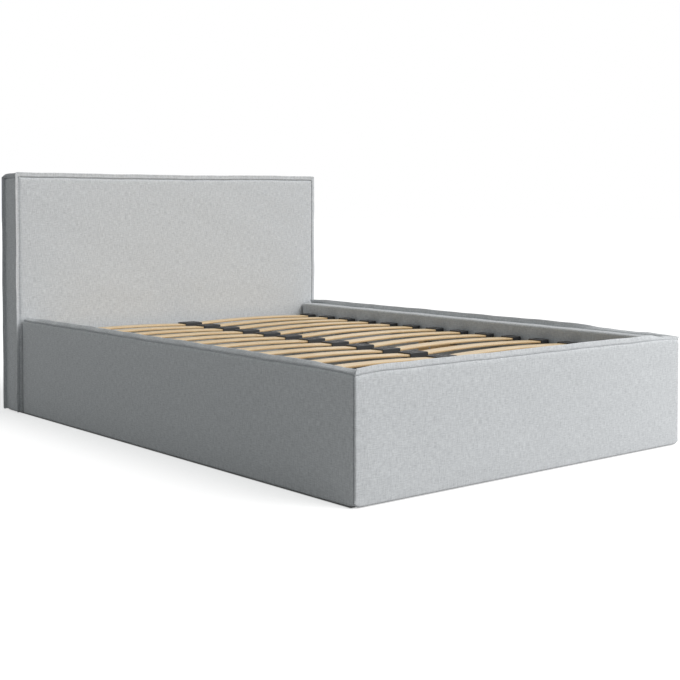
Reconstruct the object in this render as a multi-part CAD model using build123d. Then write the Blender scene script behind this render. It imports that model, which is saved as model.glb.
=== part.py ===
from build123d import *
from math import atan2, cos, hypot, radians, sin, sqrt
import os

os.makedirs("parts", exist_ok=True)

# A storage bed frame. Millimetres, +Z up, foot end at -Y, headboard at +Y.
# The origin is on the floor, in the middle of the whole bed.

# Whole bed
BED_WIDTH = 1540.0
BOX_LENGTH = 2160.0
RAIL_HEAD_GAP = 9.0
SEAM_HEIGHT = 390.0
PANEL_THICKNESS = 60.0
HEADBOARD_OVERHANG = 4.0
HEADBOARD_SEAM_HEIGHT = 989.0
HEADBOARD_THICKNESS = 138.0
GLIDE_HEIGHT = 6.0

# Upholstery: sewn cover with a flat flange along its seams, over foam
FLANGE_HEIGHT = 20.0
FLANGE_THICKNESS = 5.0
FLANGE_END_GAP = 3.0
COVER_WALL = 2.0
COVER_WRAP = 8.0
COVER_EDGE_RADIUS = 8.0
MITRE_GAP = 0.3
FOAM_GAP = 0.4
PANEL_TOP_FOAM = 15.0
HEAD_FRONT_FOAM = 40.0
HEAD_BACK_FOAM = 15.0
HEAD_EDGE_FOAM = 15.0

# Boards and battens
PANEL_BOARD_THICKNESS = 30.0
HEAD_FRONT_BOARD = 16.0
HEAD_BACK_BOARD = 4.0
HEAD_BATTEN_WIDTH = 95.0
HEAD_POST_SHARES = (0.0, 1 / 3, 2 / 3, 1.0)
HEAD_MIDDLE_BATTEN_SHARE = 0.42

# Glides under the panels
GLIDE_RADIUS = 14.0
GLIDE_EDGE = 1.5
GLIDE_SHARES = (0.06, 0.36, 0.66, 0.96)
FOOT_GLIDE_SHARES = (0.1, 0.5, 0.9)

# Fasteners
CLEARANCE = 0.3
RUNNING_CLEARANCE = 0.1
SCREW_RADIUS = 2.5
SCREW_HEAD_RADIUS = 5.0
SCREW_HEAD_HEIGHT = 3.0
BOLT_RADIUS = 4.0
BOLT_HEAD_RADIUS = 7.5
BOLT_HEAD_HEIGHT = 5.3
WASHER_RADIUS = 9.0
WASHER_THICKNESS = 1.6
WOOD_BITE = 24.0

# Corner brackets
BRACKET_LEG = 60.0
BRACKET_THICKNESS = 3.0
BRACKET_BASE_HEIGHT = 90.0
BRACKET_HEIGHT = 120.0
BRACKET_BEND_RADIUS = 5.0
BRACKET_BOLT_REACH_SHARE = 0.6
BRACKET_BOLT_SHARES = (0.2, 0.8)

# Storage floor
FLOOR_LEDGE_WIDTH = 20.0
FLOOR_LEDGE_HEIGHT = 20.0
FLOOR_PANEL_LEVEL = 32.0
FLOOR_PANEL_THICKNESS = 8.0
FLOOR_PANEL_GAP = 2.0
FLOOR_PANEL_EDGE_GAP = 8.0
CENTRE_BATTEN_WIDTH = 60.0
CENTRE_FOOT_RADIUS = 22.0
CENTRE_FOOT_TOP_RADIUS = 15.0
CENTRE_FOOT_SHARES = (0.12, 0.37, 0.63, 0.88)
LEDGE_SCREW_SHARES = (0.06, 0.35, 0.65, 0.94)

# Lifting platform
PLATFORM_HEAD_GAP = 60.0
PLATFORM_FOOT_GAP = 20.0
TUBE_WIDTH = 30.0
TUBE_HEIGHT = 40.0
TUBE_WALL = 1.5
TUBE_LEVEL = 285.0
CROSS_TUBE_HEIGHT = 20.0
CROSS_TUBE_SHARES = (0.32, 0.64)
PLUG_CAP = 3.0
PLUG_DEPTH = 14.0
SUPPORT_LEDGE_THICKNESS = 35.0
SUPPORT_LEDGE_HEIGHT = 45.0
SUPPORT_LEDGE_START = 880.0
SUPPORT_LEDGE_END_GAP = 15.0
BUFFER_RADIUS = 9.0
BUFFER_HEIGHT = 6.0
BUFFER_SHARES = (0.06, 0.5, 0.94)
FOOT_BUFFER_SHARES = (0.25, 0.75)

# Slats and their holders
SLAT_ROWS = 14
SLAT_WIDTH = 60.0
SLAT_THICKNESS = 8.0
SLAT_BOW = 10.0
SLAT_END_ROOM = 35.0
HOLDER_LENGTH = 42.0
HOLDER_WALL = 4.0
HOLDER_SLOT_HEIGHT = 12.0
HOLDER_BASE = 3.5

# Mattress retainer and pull strap
RETAINER_WIDTH = 520.0
RETAINER_HEIGHT = 62.0
RETAINER_RADIUS = 5.0
RETAINER_BEND = 30.0
RETAINER_INSET = 12.0
STRAP_WIDTH = 30.0
STRAP_THICKNESS = 2.4
STRAP_SPREAD = 160.0
STRAP_RISE = 62.0
STRAP_TAIL = 22.0
STRAP_LEVEL = 300.0
STRAP_RIVET_RADIUS = 4.0
STRAP_RIVET_HEIGHT = 1.5

# Lift: pivots measured from the headboard's face and from the floor
REAR_PIVOT_REACH = 440.0
REAR_PIVOT_HEIGHT = 235.0
FRONT_PIVOT_REACH = 778.0
FRONT_PIVOT_HEIGHT = 96.0
REAR_BRACKET_PIVOT_REACH = 272.0
REAR_BRACKET_PIVOT_HEIGHT = 262.0
FRONT_BRACKET_PIVOT_REACH = 347.0
FRONT_BRACKET_PIVOT_HEIGHT = 211.0
OPEN_PIVOT_FOOTWARD_OFFSET = 0.8
OPEN_PIVOT_UPWARD_OFFSET = 0.7
OPEN_PIVOT_PLAY = 1.1
STRUT_ARM_LENGTH = 180.0
STRUT_ARM_ANGLE = 14.0
STRUT_SPREAD_ANGLE = 72.0

# Lift: plates and levers, in layers going inwards from the rail's inner face
BASE_PLATE_THICKNESS = 4.0
RIVET_ROOM = 3.0
LEVER_THICKNESS = 4.0
BRACKET_ROOM = 3.0
LIFT_BRACKET_THICKNESS = 4.0
FRONT_LEVER_ROOM = 0.5
STRUT_ROOM = 3.0
BASE_PLATE_EDGE = 24.0
BASE_PLATE_LOW_EDGE = 16.0
BASE_PLATE_HOLE_RADIUS = 26.0
LEVER_END_RADIUS = 16.0
LEVER_EAR_RADIUS = 12.0
BRACKET_EYE_RADIUS = 19.0
LIFT_BRACKET_START = 254.0
LIFT_BRACKET_END = 560.0
LIFT_BRACKET_HEEL = 400.0
LIFT_BOLT_SHARES = (0.2, 0.55, 0.9)
FLANGE_BOLT_RADIUS = 3.0
FLANGE_BOLT_HEAD_RADIUS = 5.5
FLANGE_BOLT_HEAD_HEIGHT = 4.0
FLANGE_BOLT_BITE = 9.0
PLATE_SCREW_SHARES = (0.15, 0.5, 0.85)
PLATE_SCREW_HEAD_RADIUS = 5.5
PLATE_SCREW_HEAD_DEPTH = 2.8

# Lift: pins and studs
PIVOT_RADIUS = 6.0
OPEN_PIN_RADIUS = 5.0
PIVOT_HEAD_RADIUS = 11.0
OPEN_PIN_HEAD_RADIUS = 10.0
PIVOT_HEAD_THICKNESS = 2.4
STUD_RADIUS = 4.0
STUD_SHOULDER_RADIUS = 6.0
STUD_CLIP_RADIUS = 7.0
STUD_CLIP_THICKNESS = 2.0

# Gas struts
STRUT_RADIUS = 10.0
STRUT_BORE_RADIUS = 8.5
STRUT_ROD_RADIUS = 4.0
STRUT_PISTON_RADIUS = 8.2
STRUT_PISTON_LENGTH = 10.0
STRUT_PISTON_START = 30.0
STRUT_EYE_RADIUS = 10.0
STRUT_EYE_WIDTH = 10.0
STRUT_NECK_RADIUS = 4.4
STRUT_NECK_END = 20.0
STRUT_END_WALL = 5.0
STRUT_GLAND_WALL = 12.0
STRUT_ROD_SHOWN = 14.0

# Places worked out from the sizes above
TOTAL_LENGTH = BOX_LENGTH + HEADBOARD_THICKNESS
HEADBOARD_WIDTH = BED_WIDTH + 2 * HEADBOARD_OVERHANG
FOOT_FACE = -TOTAL_LENGTH / 2
HEAD_FACE = FOOT_FACE + BOX_LENGTH
HEAD_BACK = TOTAL_LENGTH / 2
FOOT_INNER = FOOT_FACE + PANEL_THICKNESS
RAIL_INNER = BED_WIDTH / 2 - PANEL_THICKNESS
BOARD_OUTER = PANEL_THICKNESS - COVER_WALL - PANEL_BOARD_THICKNESS
BOARD_INNER = PANEL_THICKNESS - COVER_WALL
BOARD_LOW = GLIDE_HEIGHT + COVER_WALL
BOARD_TOP = SEAM_HEIGHT - COVER_WALL - FOAM_GAP - PANEL_TOP_FOAM
OVERRUN = 3 * COVER_WALL
LEVER_OUT = BASE_PLATE_THICKNESS + RIVET_ROOM
LEVER_IN = LEVER_OUT + LEVER_THICKNESS
LEG_OUT = LEVER_IN + BRACKET_ROOM
LEG_IN = LEG_OUT + LIFT_BRACKET_THICKNESS
FRONT_LEVER_OUT = LEG_IN + FRONT_LEVER_ROOM
FRONT_LEVER_IN = FRONT_LEVER_OUT + LEVER_THICKNESS
STRUT_LAYER = FRONT_LEVER_IN + STRUT_ROOM + STRUT_RADIUS
PLATFORM_SIDE = RAIL_INNER - LEG_OUT
PLATFORM_HEAD = HEAD_FACE - PLATFORM_HEAD_GAP
PLATFORM_FOOT = FOOT_INNER + PLATFORM_FOOT_GAP
TUBE_TOP = TUBE_LEVEL + TUBE_HEIGHT
BUFFER_TOP = TUBE_LEVEL - CLEARANCE
REAR_PIVOT = (REAR_PIVOT_REACH, REAR_PIVOT_HEIGHT)
FRONT_PIVOT = (FRONT_PIVOT_REACH, FRONT_PIVOT_HEIGHT)
REAR_BRACKET_PIVOT = (REAR_BRACKET_PIVOT_REACH, REAR_BRACKET_PIVOT_HEIGHT)
FRONT_BRACKET_PIVOT = (FRONT_BRACKET_PIVOT_REACH, FRONT_BRACKET_PIVOT_HEIGHT)
LEDGE_TOP = BUFFER_TOP - BUFFER_HEIGHT
FLOOR_LEDGE_LOW = FLOOR_PANEL_LEVEL - FLOOR_LEDGE_HEIGHT


def block(x_pair, y_pair, z_pair):
    """A box from its three pairs of limits."""
    sizes = [pair[1] - pair[0] for pair in (x_pair, y_pair, z_pair)]
    middles = [(pair[0] + pair[1]) / 2 for pair in (x_pair, y_pair, z_pair)]
    return Pos(*middles) * Box(*sizes)


def part_way(start, end, share):
    """The place at a share of the way from start to end."""
    return start + (end - start) * share


def upright(x, y, low, high, radius):
    """A round bar along Z."""
    return Pos(x, y, (low + high) / 2) * Cylinder(radius, high - low)


def group(solids):
    """Separate solids kept together in one node."""
    return Compound(children=list(solids))


def flipped(shape):
    """The same piece on the bed's other side."""
    return mirror(shape, about=Plane.YZ)


def both_sides(solids):
    """A list of left pieces followed by their right-hand twins."""
    return list(solids) + [flipped(solid) for solid in solids]


def cut(shape, tools):
    """The shape with each tool taken out of it."""
    for tool in tools:
        shape = shape - tool
    return shape


# Upholstered panels: drawn lying along +Y, with the outer face at x = 0

def plan_prism(depths, heights, length, mitred, inset):
    """An upright prism in a panel's plan, with square or 45 degree ends."""
    starts = [depth + inset * sqrt(2) if mitred[0] else inset for depth in depths]
    ends = [length - depth - inset * sqrt(2) if mitred[1] else length - inset for depth in depths]
    outline = Polygon(
        (depths[0], starts[0]),
        (depths[1], starts[1]),
        (depths[1], ends[1]),
        (depths[0], ends[0]),
        align=None,
    )
    return Pos(0, 0, heights[0]) * extrude(outline, amount=heights[1] - heights[0])


def rounded_bar(depths, heights, length, radius, rounded):
    """A bar along +Y with some of its long edges rounded, each named by its place."""
    corners = {
        "low_outer": (depths[0], heights[0]),
        "low_inner": (depths[1], heights[0]),
        "top_inner": (depths[1], heights[1]),
        "top_outer": (depths[0], heights[1]),
    }
    section = Polygon(*corners.values(), align=None)
    for corner in rounded:
        nearest = section.vertices().sort_by_distance((*corners[corner], 0))[0]
        section = fillet(nearest, radius)
    return extrude(Plane.XZ * section, amount=-length)


SOFT_EDGES = ("low_outer", "low_inner", "top_inner")


def panel_cover(length, mitred):
    """The sewn cover: a shell wrapped under the board, with a flange on its top outer seam."""
    skin = (0, PANEL_THICKNESS)
    heights = (GLIDE_HEIGHT, SEAM_HEIGHT)
    hollow = (COVER_WALL, PANEL_THICKNESS - COVER_WALL)
    hollow_heights = (GLIDE_HEIGHT + COVER_WALL, SEAM_HEIGHT - COVER_WALL)
    shell = rounded_bar(skin, heights, length, COVER_EDGE_RADIUS, SOFT_EDGES)
    shell = shell & plan_prism(skin, heights, length, mitred, MITRE_GAP)
    inside = rounded_bar(hollow, hollow_heights, length, COVER_EDGE_RADIUS - COVER_WALL, SOFT_EDGES)
    inside = inside & plan_prism(hollow, hollow_heights, length, mitred, MITRE_GAP + COVER_WALL)
    slot = plan_prism(
        (BOARD_OUTER + COVER_WRAP, BOARD_INNER - COVER_WRAP),
        (GLIDE_HEIGHT - OVERRUN, GLIDE_HEIGHT + OVERRUN),
        length,
        mitred,
        MITRE_GAP + COVER_WALL + COVER_WRAP,
    )
    flange = plan_prism(
        (0, FLANGE_THICKNESS),
        (SEAM_HEIGHT, SEAM_HEIGHT + FLANGE_HEIGHT),
        length,
        mitred,
        FLANGE_END_GAP,
    )
    return shell - inside - slot + flange


def panel_board(length, mitred):
    """The chipboard that carries a panel."""
    inset = MITRE_GAP + COVER_WALL + FOAM_GAP
    depths, heights = (BOARD_OUTER, BOARD_INNER), (BOARD_LOW, BOARD_TOP)
    board = rounded_bar(depths, heights, length, COVER_EDGE_RADIUS, ("low_inner",))
    return board & plan_prism(depths, heights, length, mitred, inset)


def panel_foam(length, mitred):
    """Foam over the board's outer face and its top edge."""
    inset = MITRE_GAP + COVER_WALL + FOAM_GAP
    depths = (COVER_WALL + FOAM_GAP, PANEL_THICKNESS - COVER_WALL - FOAM_GAP)
    heights = (BOARD_LOW + FOAM_GAP, SEAM_HEIGHT - COVER_WALL - FOAM_GAP)
    foam = rounded_bar(depths, heights, length, COVER_EDGE_RADIUS - COVER_WALL, SOFT_EDGES)
    foam = foam & plan_prism(depths, heights, length, mitred, inset)
    return foam - plan_prism((BOARD_OUTER, PANEL_THICKNESS), (GLIDE_HEIGHT, BOARD_TOP), length, mitred, 0)


RAIL_PLACE = Pos(-BED_WIDTH / 2, FOOT_FACE, 0)
FOOTBOARD_PLACE = Pos(BED_WIDTH / 2, FOOT_FACE, 0) * Rot(0, 0, 90)
RAIL_ENDS = (True, False)
RAIL_LENGTH = BOX_LENGTH - RAIL_HEAD_GAP
FOOTBOARD_ENDS = (True, True)


# Fasteners: each is a place on the surface, the way it goes in, and its lengths

def facing(point, direction):
    """A placement with +Z along the way a fastener goes in."""
    return Location(Plane(origin=point, z_dir=direction))


def bolt(point, direction, length):
    """A hexagon bolt with its washer, head outside the surface."""
    shank = Pos(0, 0, (length - WASHER_THICKNESS) / 2) * Cylinder(BOLT_RADIUS, length + WASHER_THICKNESS)
    washer = Pos(0, 0, -WASHER_THICKNESS / 2) * Cylinder(WASHER_RADIUS, WASHER_THICKNESS)
    head = extrude(RegularPolygon(BOLT_HEAD_RADIUS, 6), amount=BOLT_HEAD_HEIGHT)
    head = Pos(0, 0, -WASHER_THICKNESS - BOLT_HEAD_HEIGHT) * head
    return facing(point, direction) * (shank + washer + head)


def screw(point, direction, length):
    """A pan-head wood screw."""
    shank = Pos(0, 0, length / 2) * Cylinder(SCREW_RADIUS, length)
    head = Pos(0, 0, -SCREW_HEAD_HEIGHT / 2) * Cylinder(SCREW_HEAD_RADIUS, SCREW_HEAD_HEIGHT)
    head = fillet(head.edges().sort_by(Axis.Z)[0], SCREW_HEAD_HEIGHT / 2)
    return facing(point, direction) * (shank + head)


def sunk_screw(point, direction, length):
    """A countersunk screw, its head level with the plate it holds."""
    shank = Pos(0, 0, length / 2) * Cylinder(SCREW_RADIUS, length)
    cone = Cone(PLATE_SCREW_HEAD_RADIUS, SCREW_RADIUS, PLATE_SCREW_HEAD_DEPTH)
    return facing(point, direction) * (shank + Pos(0, 0, PLATE_SCREW_HEAD_DEPTH / 2) * cone)


def drilled(point, direction, length, radius):
    """The hole for a fastener, a little wider and deeper than its shank."""
    depth = length + CLEARANCE
    hole = Pos(0, 0, (depth - OVERRUN) / 2) * Cylinder(radius + CLEARANCE, depth + OVERRUN)
    return facing(point, direction) * hole


OUTWARDS = (-1, 0, 0)
FOOTWARDS = (0, -1, 0)
HEADWARDS = (0, 1, 0)
BOLT_LENGTH = BRACKET_THICKNESS + COVER_WALL + WOOD_BITE


def bracket_bolt_places():
    """Where the left brackets' bolts go in: through the rail, the footboard and the headboard."""
    places = []
    reach = BRACKET_LEG * BRACKET_BOLT_REACH_SHARE
    rail_x = -RAIL_INNER + BRACKET_THICKNESS
    for share in BRACKET_BOLT_SHARES:
        z = BRACKET_BASE_HEIGHT + BRACKET_HEIGHT * share
        places.append(((rail_x, FOOT_INNER + reach, z), OUTWARDS))
        places.append(((-RAIL_INNER + reach, FOOT_INNER + BRACKET_THICKNESS, z), FOOTWARDS))
        places.append(((rail_x, HEAD_FACE - reach, z), OUTWARDS))
        places.append(((-RAIL_INNER + reach, HEAD_FACE - BRACKET_THICKNESS, z), HEADWARDS))
    return places


def side_ledge_run():
    """Where the left support ledge starts and ends along Y."""
    return (FOOT_INNER + SUPPORT_LEDGE_END_GAP, HEAD_FACE - SUPPORT_LEDGE_START)


def foot_ledge_run():
    """Where the foot's support ledge starts and ends along X."""
    half = RAIL_INNER - SUPPORT_LEDGE_THICKNESS - SUPPORT_LEDGE_END_GAP
    return (-half, half)


def floor_ledge_run():
    """Where the left floor ledge starts and ends along Y."""
    return (FOOT_INNER + FLOOR_PANEL_EDGE_GAP, HEAD_FACE - FLOOR_PANEL_EDGE_GAP)


def side_screw_places():
    """The screws through the left rail's two ledges."""
    level = LEDGE_TOP - SUPPORT_LEDGE_HEIGHT / 2
    low_level = FLOOR_LEDGE_LOW + FLOOR_LEDGE_HEIGHT / 2
    places = []
    for share in LEDGE_SCREW_SHARES:
        upper_y = part_way(*side_ledge_run(), share)
        lower_y = part_way(*floor_ledge_run(), share)
        upper = (-RAIL_INNER + SUPPORT_LEDGE_THICKNESS, upper_y, level)
        lower = (-RAIL_INNER + FLOOR_LEDGE_WIDTH, lower_y, low_level)
        places.append((upper, OUTWARDS, SUPPORT_LEDGE_THICKNESS + COVER_WALL + WOOD_BITE))
        places.append((lower, OUTWARDS, FLOOR_LEDGE_WIDTH + COVER_WALL + WOOD_BITE))
    return places


def foot_screw_places():
    """The screws through the foot's support ledge."""
    level = LEDGE_TOP - SUPPORT_LEDGE_HEIGHT / 2
    y = FOOT_INNER + SUPPORT_LEDGE_THICKNESS
    length = SUPPORT_LEDGE_THICKNESS + COVER_WALL + WOOD_BITE
    middles = [part_way(*foot_ledge_run(), share) for share in LEDGE_SCREW_SHARES]
    return [((x, y, level), FOOTWARDS, length) for x in middles]


def plate_screw_places():
    """The countersunk screws through the left base plate."""
    x = -RAIL_INNER + BASE_PLATE_THICKNESS
    length = BASE_PLATE_THICKNESS + COVER_WALL + WOOD_BITE
    places = []
    for start, end in ((REAR_PIVOT, FRONT_PIVOT), (STRUT_FOOT, FRONT_PIVOT)):
        for share in PLATE_SCREW_SHARES:
            from_head = part_way(start[0], end[0], share)
            height = part_way(start[1], end[1], share)
            places.append(((x, HEAD_FACE - from_head, height), OUTWARDS, length))
    return places


# The lift's side view: the first number runs from the headboard's face to the foot, the second is height

def lever_point(turn):
    """A place at the strut's arm's length from the rear pivot, turned from the rear lever's line."""
    line = atan2(REAR_BRACKET_PIVOT_HEIGHT - REAR_PIVOT_HEIGHT, REAR_BRACKET_PIVOT_REACH - REAR_PIVOT_REACH)
    angle = line + radians(turn)
    return (REAR_PIVOT_REACH + STRUT_ARM_LENGTH * cos(angle), REAR_PIVOT_HEIGHT + STRUT_ARM_LENGTH * sin(angle))


STRUT_TOP = lever_point(STRUT_ARM_ANGLE)
STRUT_FOOT = lever_point(STRUT_ARM_ANGLE + STRUT_SPREAD_ANGLE)
STRUT_LENGTH = hypot(STRUT_TOP[0] - STRUT_FOOT[0], STRUT_TOP[1] - STRUT_FOOT[1])
SIDE_VIEW = Plane(origin=(0, HEAD_FACE, 0), x_dir=FOOTWARDS, z_dir=OUTWARDS)


def side_plate(outline, layers):
    """A flat left plate between two layers, counted inwards from the rail's inner face."""
    plate = extrude(SIDE_VIEW * outline, amount=layers[1] - layers[0])
    return Pos(layers[1] - RAIL_INNER, 0, 0) * plate


def side_pin(place, steps):
    """A left pin along X: each step is an outer layer, an inner layer and a radius."""
    stack = [side_plate(Pos(*place) * Circle(radius), (outer, inner)) for outer, inner, radius in steps]
    return Part() + stack


def rounded_link(ends):
    """The outline round two or more discs, each a place and a radius."""
    discs = Sketch() + [Pos(*place) * Circle(radius) for place, radius in ends]
    return make_hull(discs.edges())


def base_plate():
    """The steel plate on the rail that carries both levers and the strut's foot."""
    outline = rounded_link([
        (REAR_PIVOT, BASE_PLATE_EDGE),
        (FRONT_PIVOT, BASE_PLATE_EDGE),
        (STRUT_FOOT, BASE_PLATE_LOW_EDGE),
    ])
    middle = [(REAR_PIVOT[i] + FRONT_PIVOT[i] + STRUT_FOOT[i]) / 3 for i in (0, 1)]
    outline = outline - Pos(*middle) * Circle(BASE_PLATE_HOLE_RADIUS)
    plate = side_plate(outline, (0, BASE_PLATE_THICKNESS))
    plate = cut(plate, [drilled(*place, SCREW_RADIUS) for place in plate_screw_places()])
    seats = []
    for point, direction, length in plate_screw_places():
        cone = Cone(
            PLATE_SCREW_HEAD_RADIUS + CLEARANCE,
            SCREW_RADIUS + CLEARANCE,
            PLATE_SCREW_HEAD_DEPTH,
        )
        seats.append(facing(point, direction) * Pos(0, 0, PLATE_SCREW_HEAD_DEPTH / 2) * cone)
    return cut(plate, seats)


def rear_lever():
    """The short lever, with an ear that takes the strut's upper stud."""
    bar = rounded_link([(REAR_PIVOT, LEVER_END_RADIUS), (REAR_BRACKET_PIVOT, LEVER_END_RADIUS)])
    ear = rounded_link([(REAR_BRACKET_PIVOT, LEVER_END_RADIUS), (STRUT_TOP, LEVER_EAR_RADIUS)])
    outline = bar + ear
    for place in (REAR_PIVOT, REAR_BRACKET_PIVOT):
        outline = outline - Pos(*place) * Circle(PIVOT_RADIUS + RUNNING_CLEARANCE)
    outline = outline - Pos(*STRUT_TOP) * Circle(STUD_RADIUS)
    return side_plate(outline, (LEVER_OUT, LEVER_IN))


def front_pin_place():
    """The front lever's upper pin, set off its hole so that it stays clear over the whole travel."""
    reach = FRONT_BRACKET_PIVOT_REACH + OPEN_PIVOT_FOOTWARD_OFFSET
    return (reach, FRONT_BRACKET_PIVOT_HEIGHT + OPEN_PIVOT_UPWARD_OFFSET)


def front_lever():
    """The long lever, nearer the middle of the bed."""
    outline = rounded_link([(FRONT_PIVOT, LEVER_END_RADIUS), (front_pin_place(), LEVER_END_RADIUS)])
    outline = outline - Pos(*FRONT_PIVOT) * Circle(PIVOT_RADIUS + RUNNING_CLEARANCE)
    outline = outline - Pos(*front_pin_place()) * Circle(OPEN_PIN_RADIUS)
    return side_plate(outline, (FRONT_LEVER_OUT, FRONT_LEVER_IN))


def front_lever_pin():
    """The pin riveted to the front lever; it turns in a wider hole in the bracket."""
    return side_pin(front_pin_place(), [
        (LEVER_IN + CLEARANCE, LEG_OUT - CLEARANCE, OPEN_PIN_HEAD_RADIUS),
        (LEG_OUT - CLEARANCE, FRONT_LEVER_IN, OPEN_PIN_RADIUS),
        (FRONT_LEVER_IN, FRONT_LEVER_IN + STRUT_ROOM - CLEARANCE, OPEN_PIN_HEAD_RADIUS),
    ])


def lift_bracket():
    """The angle under the platform's side tube, with a leg that hangs down to both levers."""
    leg = rounded_link([(REAR_BRACKET_PIVOT, BRACKET_EYE_RADIUS), (FRONT_BRACKET_PIVOT, BRACKET_EYE_RADIUS)])
    leg = leg + Polygon(
        (LIFT_BRACKET_START, REAR_BRACKET_PIVOT_HEIGHT),
        REAR_BRACKET_PIVOT,
        (FRONT_BRACKET_PIVOT_REACH + BRACKET_EYE_RADIUS, FRONT_BRACKET_PIVOT_HEIGHT),
        (LIFT_BRACKET_HEEL, TUBE_LEVEL - LIFT_BRACKET_THICKNESS),
        (LIFT_BRACKET_END, TUBE_LEVEL - LIFT_BRACKET_THICKNESS),
        (LIFT_BRACKET_END, TUBE_LEVEL),
        (LIFT_BRACKET_START, TUBE_LEVEL),
        align=None,
    )
    leg = leg - Pos(*REAR_BRACKET_PIVOT) * Circle(PIVOT_RADIUS)
    leg = leg - Pos(*FRONT_BRACKET_PIVOT) * Circle(OPEN_PIN_RADIUS + OPEN_PIVOT_PLAY + CLEARANCE)
    flange = block(
        (-PLATFORM_SIDE, -PLATFORM_SIDE + TUBE_WIDTH),
        (HEAD_FACE - LIFT_BRACKET_END, HEAD_FACE - LIFT_BRACKET_START),
        (TUBE_LEVEL - LIFT_BRACKET_THICKNESS, TUBE_LEVEL),
    )
    bracket = side_plate(leg, (LEG_OUT, LEG_IN)) + flange
    return cut(bracket, [flange_bolt_hole(y) for y in flange_bolt_places()])


def flange_bolt_places():
    """Where the bolts between bracket and side tube stand along Y."""
    return [HEAD_FACE - part_way(LIFT_BRACKET_START, LIFT_BRACKET_END, share) for share in LIFT_BOLT_SHARES]


def flange_bolt_x():
    """The line of those bolts, in the middle of what the flange leaves beside its leg."""
    return -PLATFORM_SIDE + (TUBE_WIDTH + LIFT_BRACKET_THICKNESS) / 2


def flange_bolt_hole(y):
    """The hole for one of them, through the flange and the tube's lower wall."""
    low = TUBE_LEVEL - LIFT_BRACKET_THICKNESS - OVERRUN
    return upright(flange_bolt_x(), y, low, TUBE_LEVEL + FLANGE_BOLT_BITE, FLANGE_BOLT_RADIUS + CLEARANCE)


def flange_bolt(y):
    """A hexagon bolt up through the flange, with its rivet nut inside the tube."""
    low = TUBE_LEVEL - LIFT_BRACKET_THICKNESS
    head = extrude(RegularPolygon(FLANGE_BOLT_HEAD_RADIUS, 6), amount=FLANGE_BOLT_HEAD_HEIGHT)
    head = Pos(flange_bolt_x(), y, low - FLANGE_BOLT_HEAD_HEIGHT) * head
    shank = upright(flange_bolt_x(), y, low, TUBE_LEVEL + FLANGE_BOLT_BITE, FLANGE_BOLT_RADIUS)
    nut_low = TUBE_LEVEL + TUBE_WALL
    nut = upright(flange_bolt_x(), y, nut_low, TUBE_LEVEL + FLANGE_BOLT_BITE, FLANGE_BOLT_HEAD_RADIUS)
    return head + shank + nut


def ground_pins():
    """The two pins that stand on the left base plate and carry the levers."""
    rear = side_pin(REAR_PIVOT, [
        (BASE_PLATE_THICKNESS, LEVER_OUT - CLEARANCE, PIVOT_HEAD_RADIUS),
        (LEVER_OUT - CLEARANCE, LEVER_IN + CLEARANCE, PIVOT_RADIUS),
        (LEVER_IN + CLEARANCE, LEVER_IN + PIVOT_HEAD_THICKNESS, PIVOT_HEAD_RADIUS),
    ])
    front = side_pin(FRONT_PIVOT, [
        (BASE_PLATE_THICKNESS, FRONT_LEVER_OUT - CLEARANCE, PIVOT_HEAD_RADIUS),
        (FRONT_LEVER_OUT - CLEARANCE, FRONT_LEVER_IN + CLEARANCE, PIVOT_RADIUS),
        (FRONT_LEVER_IN + CLEARANCE, FRONT_LEVER_IN + PIVOT_HEAD_THICKNESS, PIVOT_HEAD_RADIUS),
    ])
    return [rear, front]


def bracket_pin():
    """The pin fixed in the bracket's leg, on which the rear lever's upper end turns."""
    return side_pin(REAR_BRACKET_PIVOT, [
        (LEVER_OUT - PIVOT_HEAD_THICKNESS, LEVER_OUT - CLEARANCE, PIVOT_HEAD_RADIUS),
        (LEVER_OUT - CLEARANCE, LEVER_IN + CLEARANCE, PIVOT_RADIUS),
        (LEVER_IN + CLEARANCE, LEG_OUT, PIVOT_HEAD_RADIUS),
        (LEG_OUT, LEG_IN, PIVOT_RADIUS),
        (LEG_IN, LEG_IN + PIVOT_HEAD_THICKNESS, PIVOT_HEAD_RADIUS),
    ])


EYE_OUT = STRUT_LAYER - STRUT_EYE_WIDTH / 2
EYE_IN = STRUT_LAYER + STRUT_EYE_WIDTH / 2


def strut_stud(place, start, rivet):
    """A shouldered stud for a strut's eye, with a clip on its end."""
    steps = [
        (start, EYE_OUT - CLEARANCE, STUD_SHOULDER_RADIUS),
        (EYE_OUT - CLEARANCE, EYE_IN + CLEARANCE, STUD_RADIUS),
        (EYE_IN + CLEARANCE, EYE_IN + CLEARANCE + STUD_CLIP_THICKNESS, STUD_CLIP_RADIUS),
    ]
    return side_pin(place, steps + rivet)


def strut_top_stud():
    """The stud riveted through the rear lever's ear."""
    return strut_stud(STRUT_TOP, LEVER_IN, [
        (LEVER_OUT, LEVER_IN, STUD_RADIUS),
        (LEVER_OUT - PIVOT_HEAD_THICKNESS, LEVER_OUT, STUD_SHOULDER_RADIUS),
    ])


# Gas struts: drawn standing on their lower eye, then laid from one stud to the other

def strut_eye(height, neck):
    """A flat eye across X at one end of a strut, with its neck."""
    eye = Pos(0, 0, height) * Rot(0, 90, 0) * Cylinder(STRUT_EYE_RADIUS, STRUT_EYE_WIDTH)
    bore = Pos(0, 0, height) * Rot(0, 90, 0) * Cylinder(STUD_RADIUS + RUNNING_CLEARANCE, STRUT_EYE_WIDTH)
    stem = upright(0, 0, min(height, neck), max(height, neck), STRUT_NECK_RADIUS)
    return eye + stem - bore


def strut_body_end():
    """How far the cylinder reaches along the strut."""
    return STRUT_LENGTH - STRUT_NECK_END - STRUT_ROD_SHOWN


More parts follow.
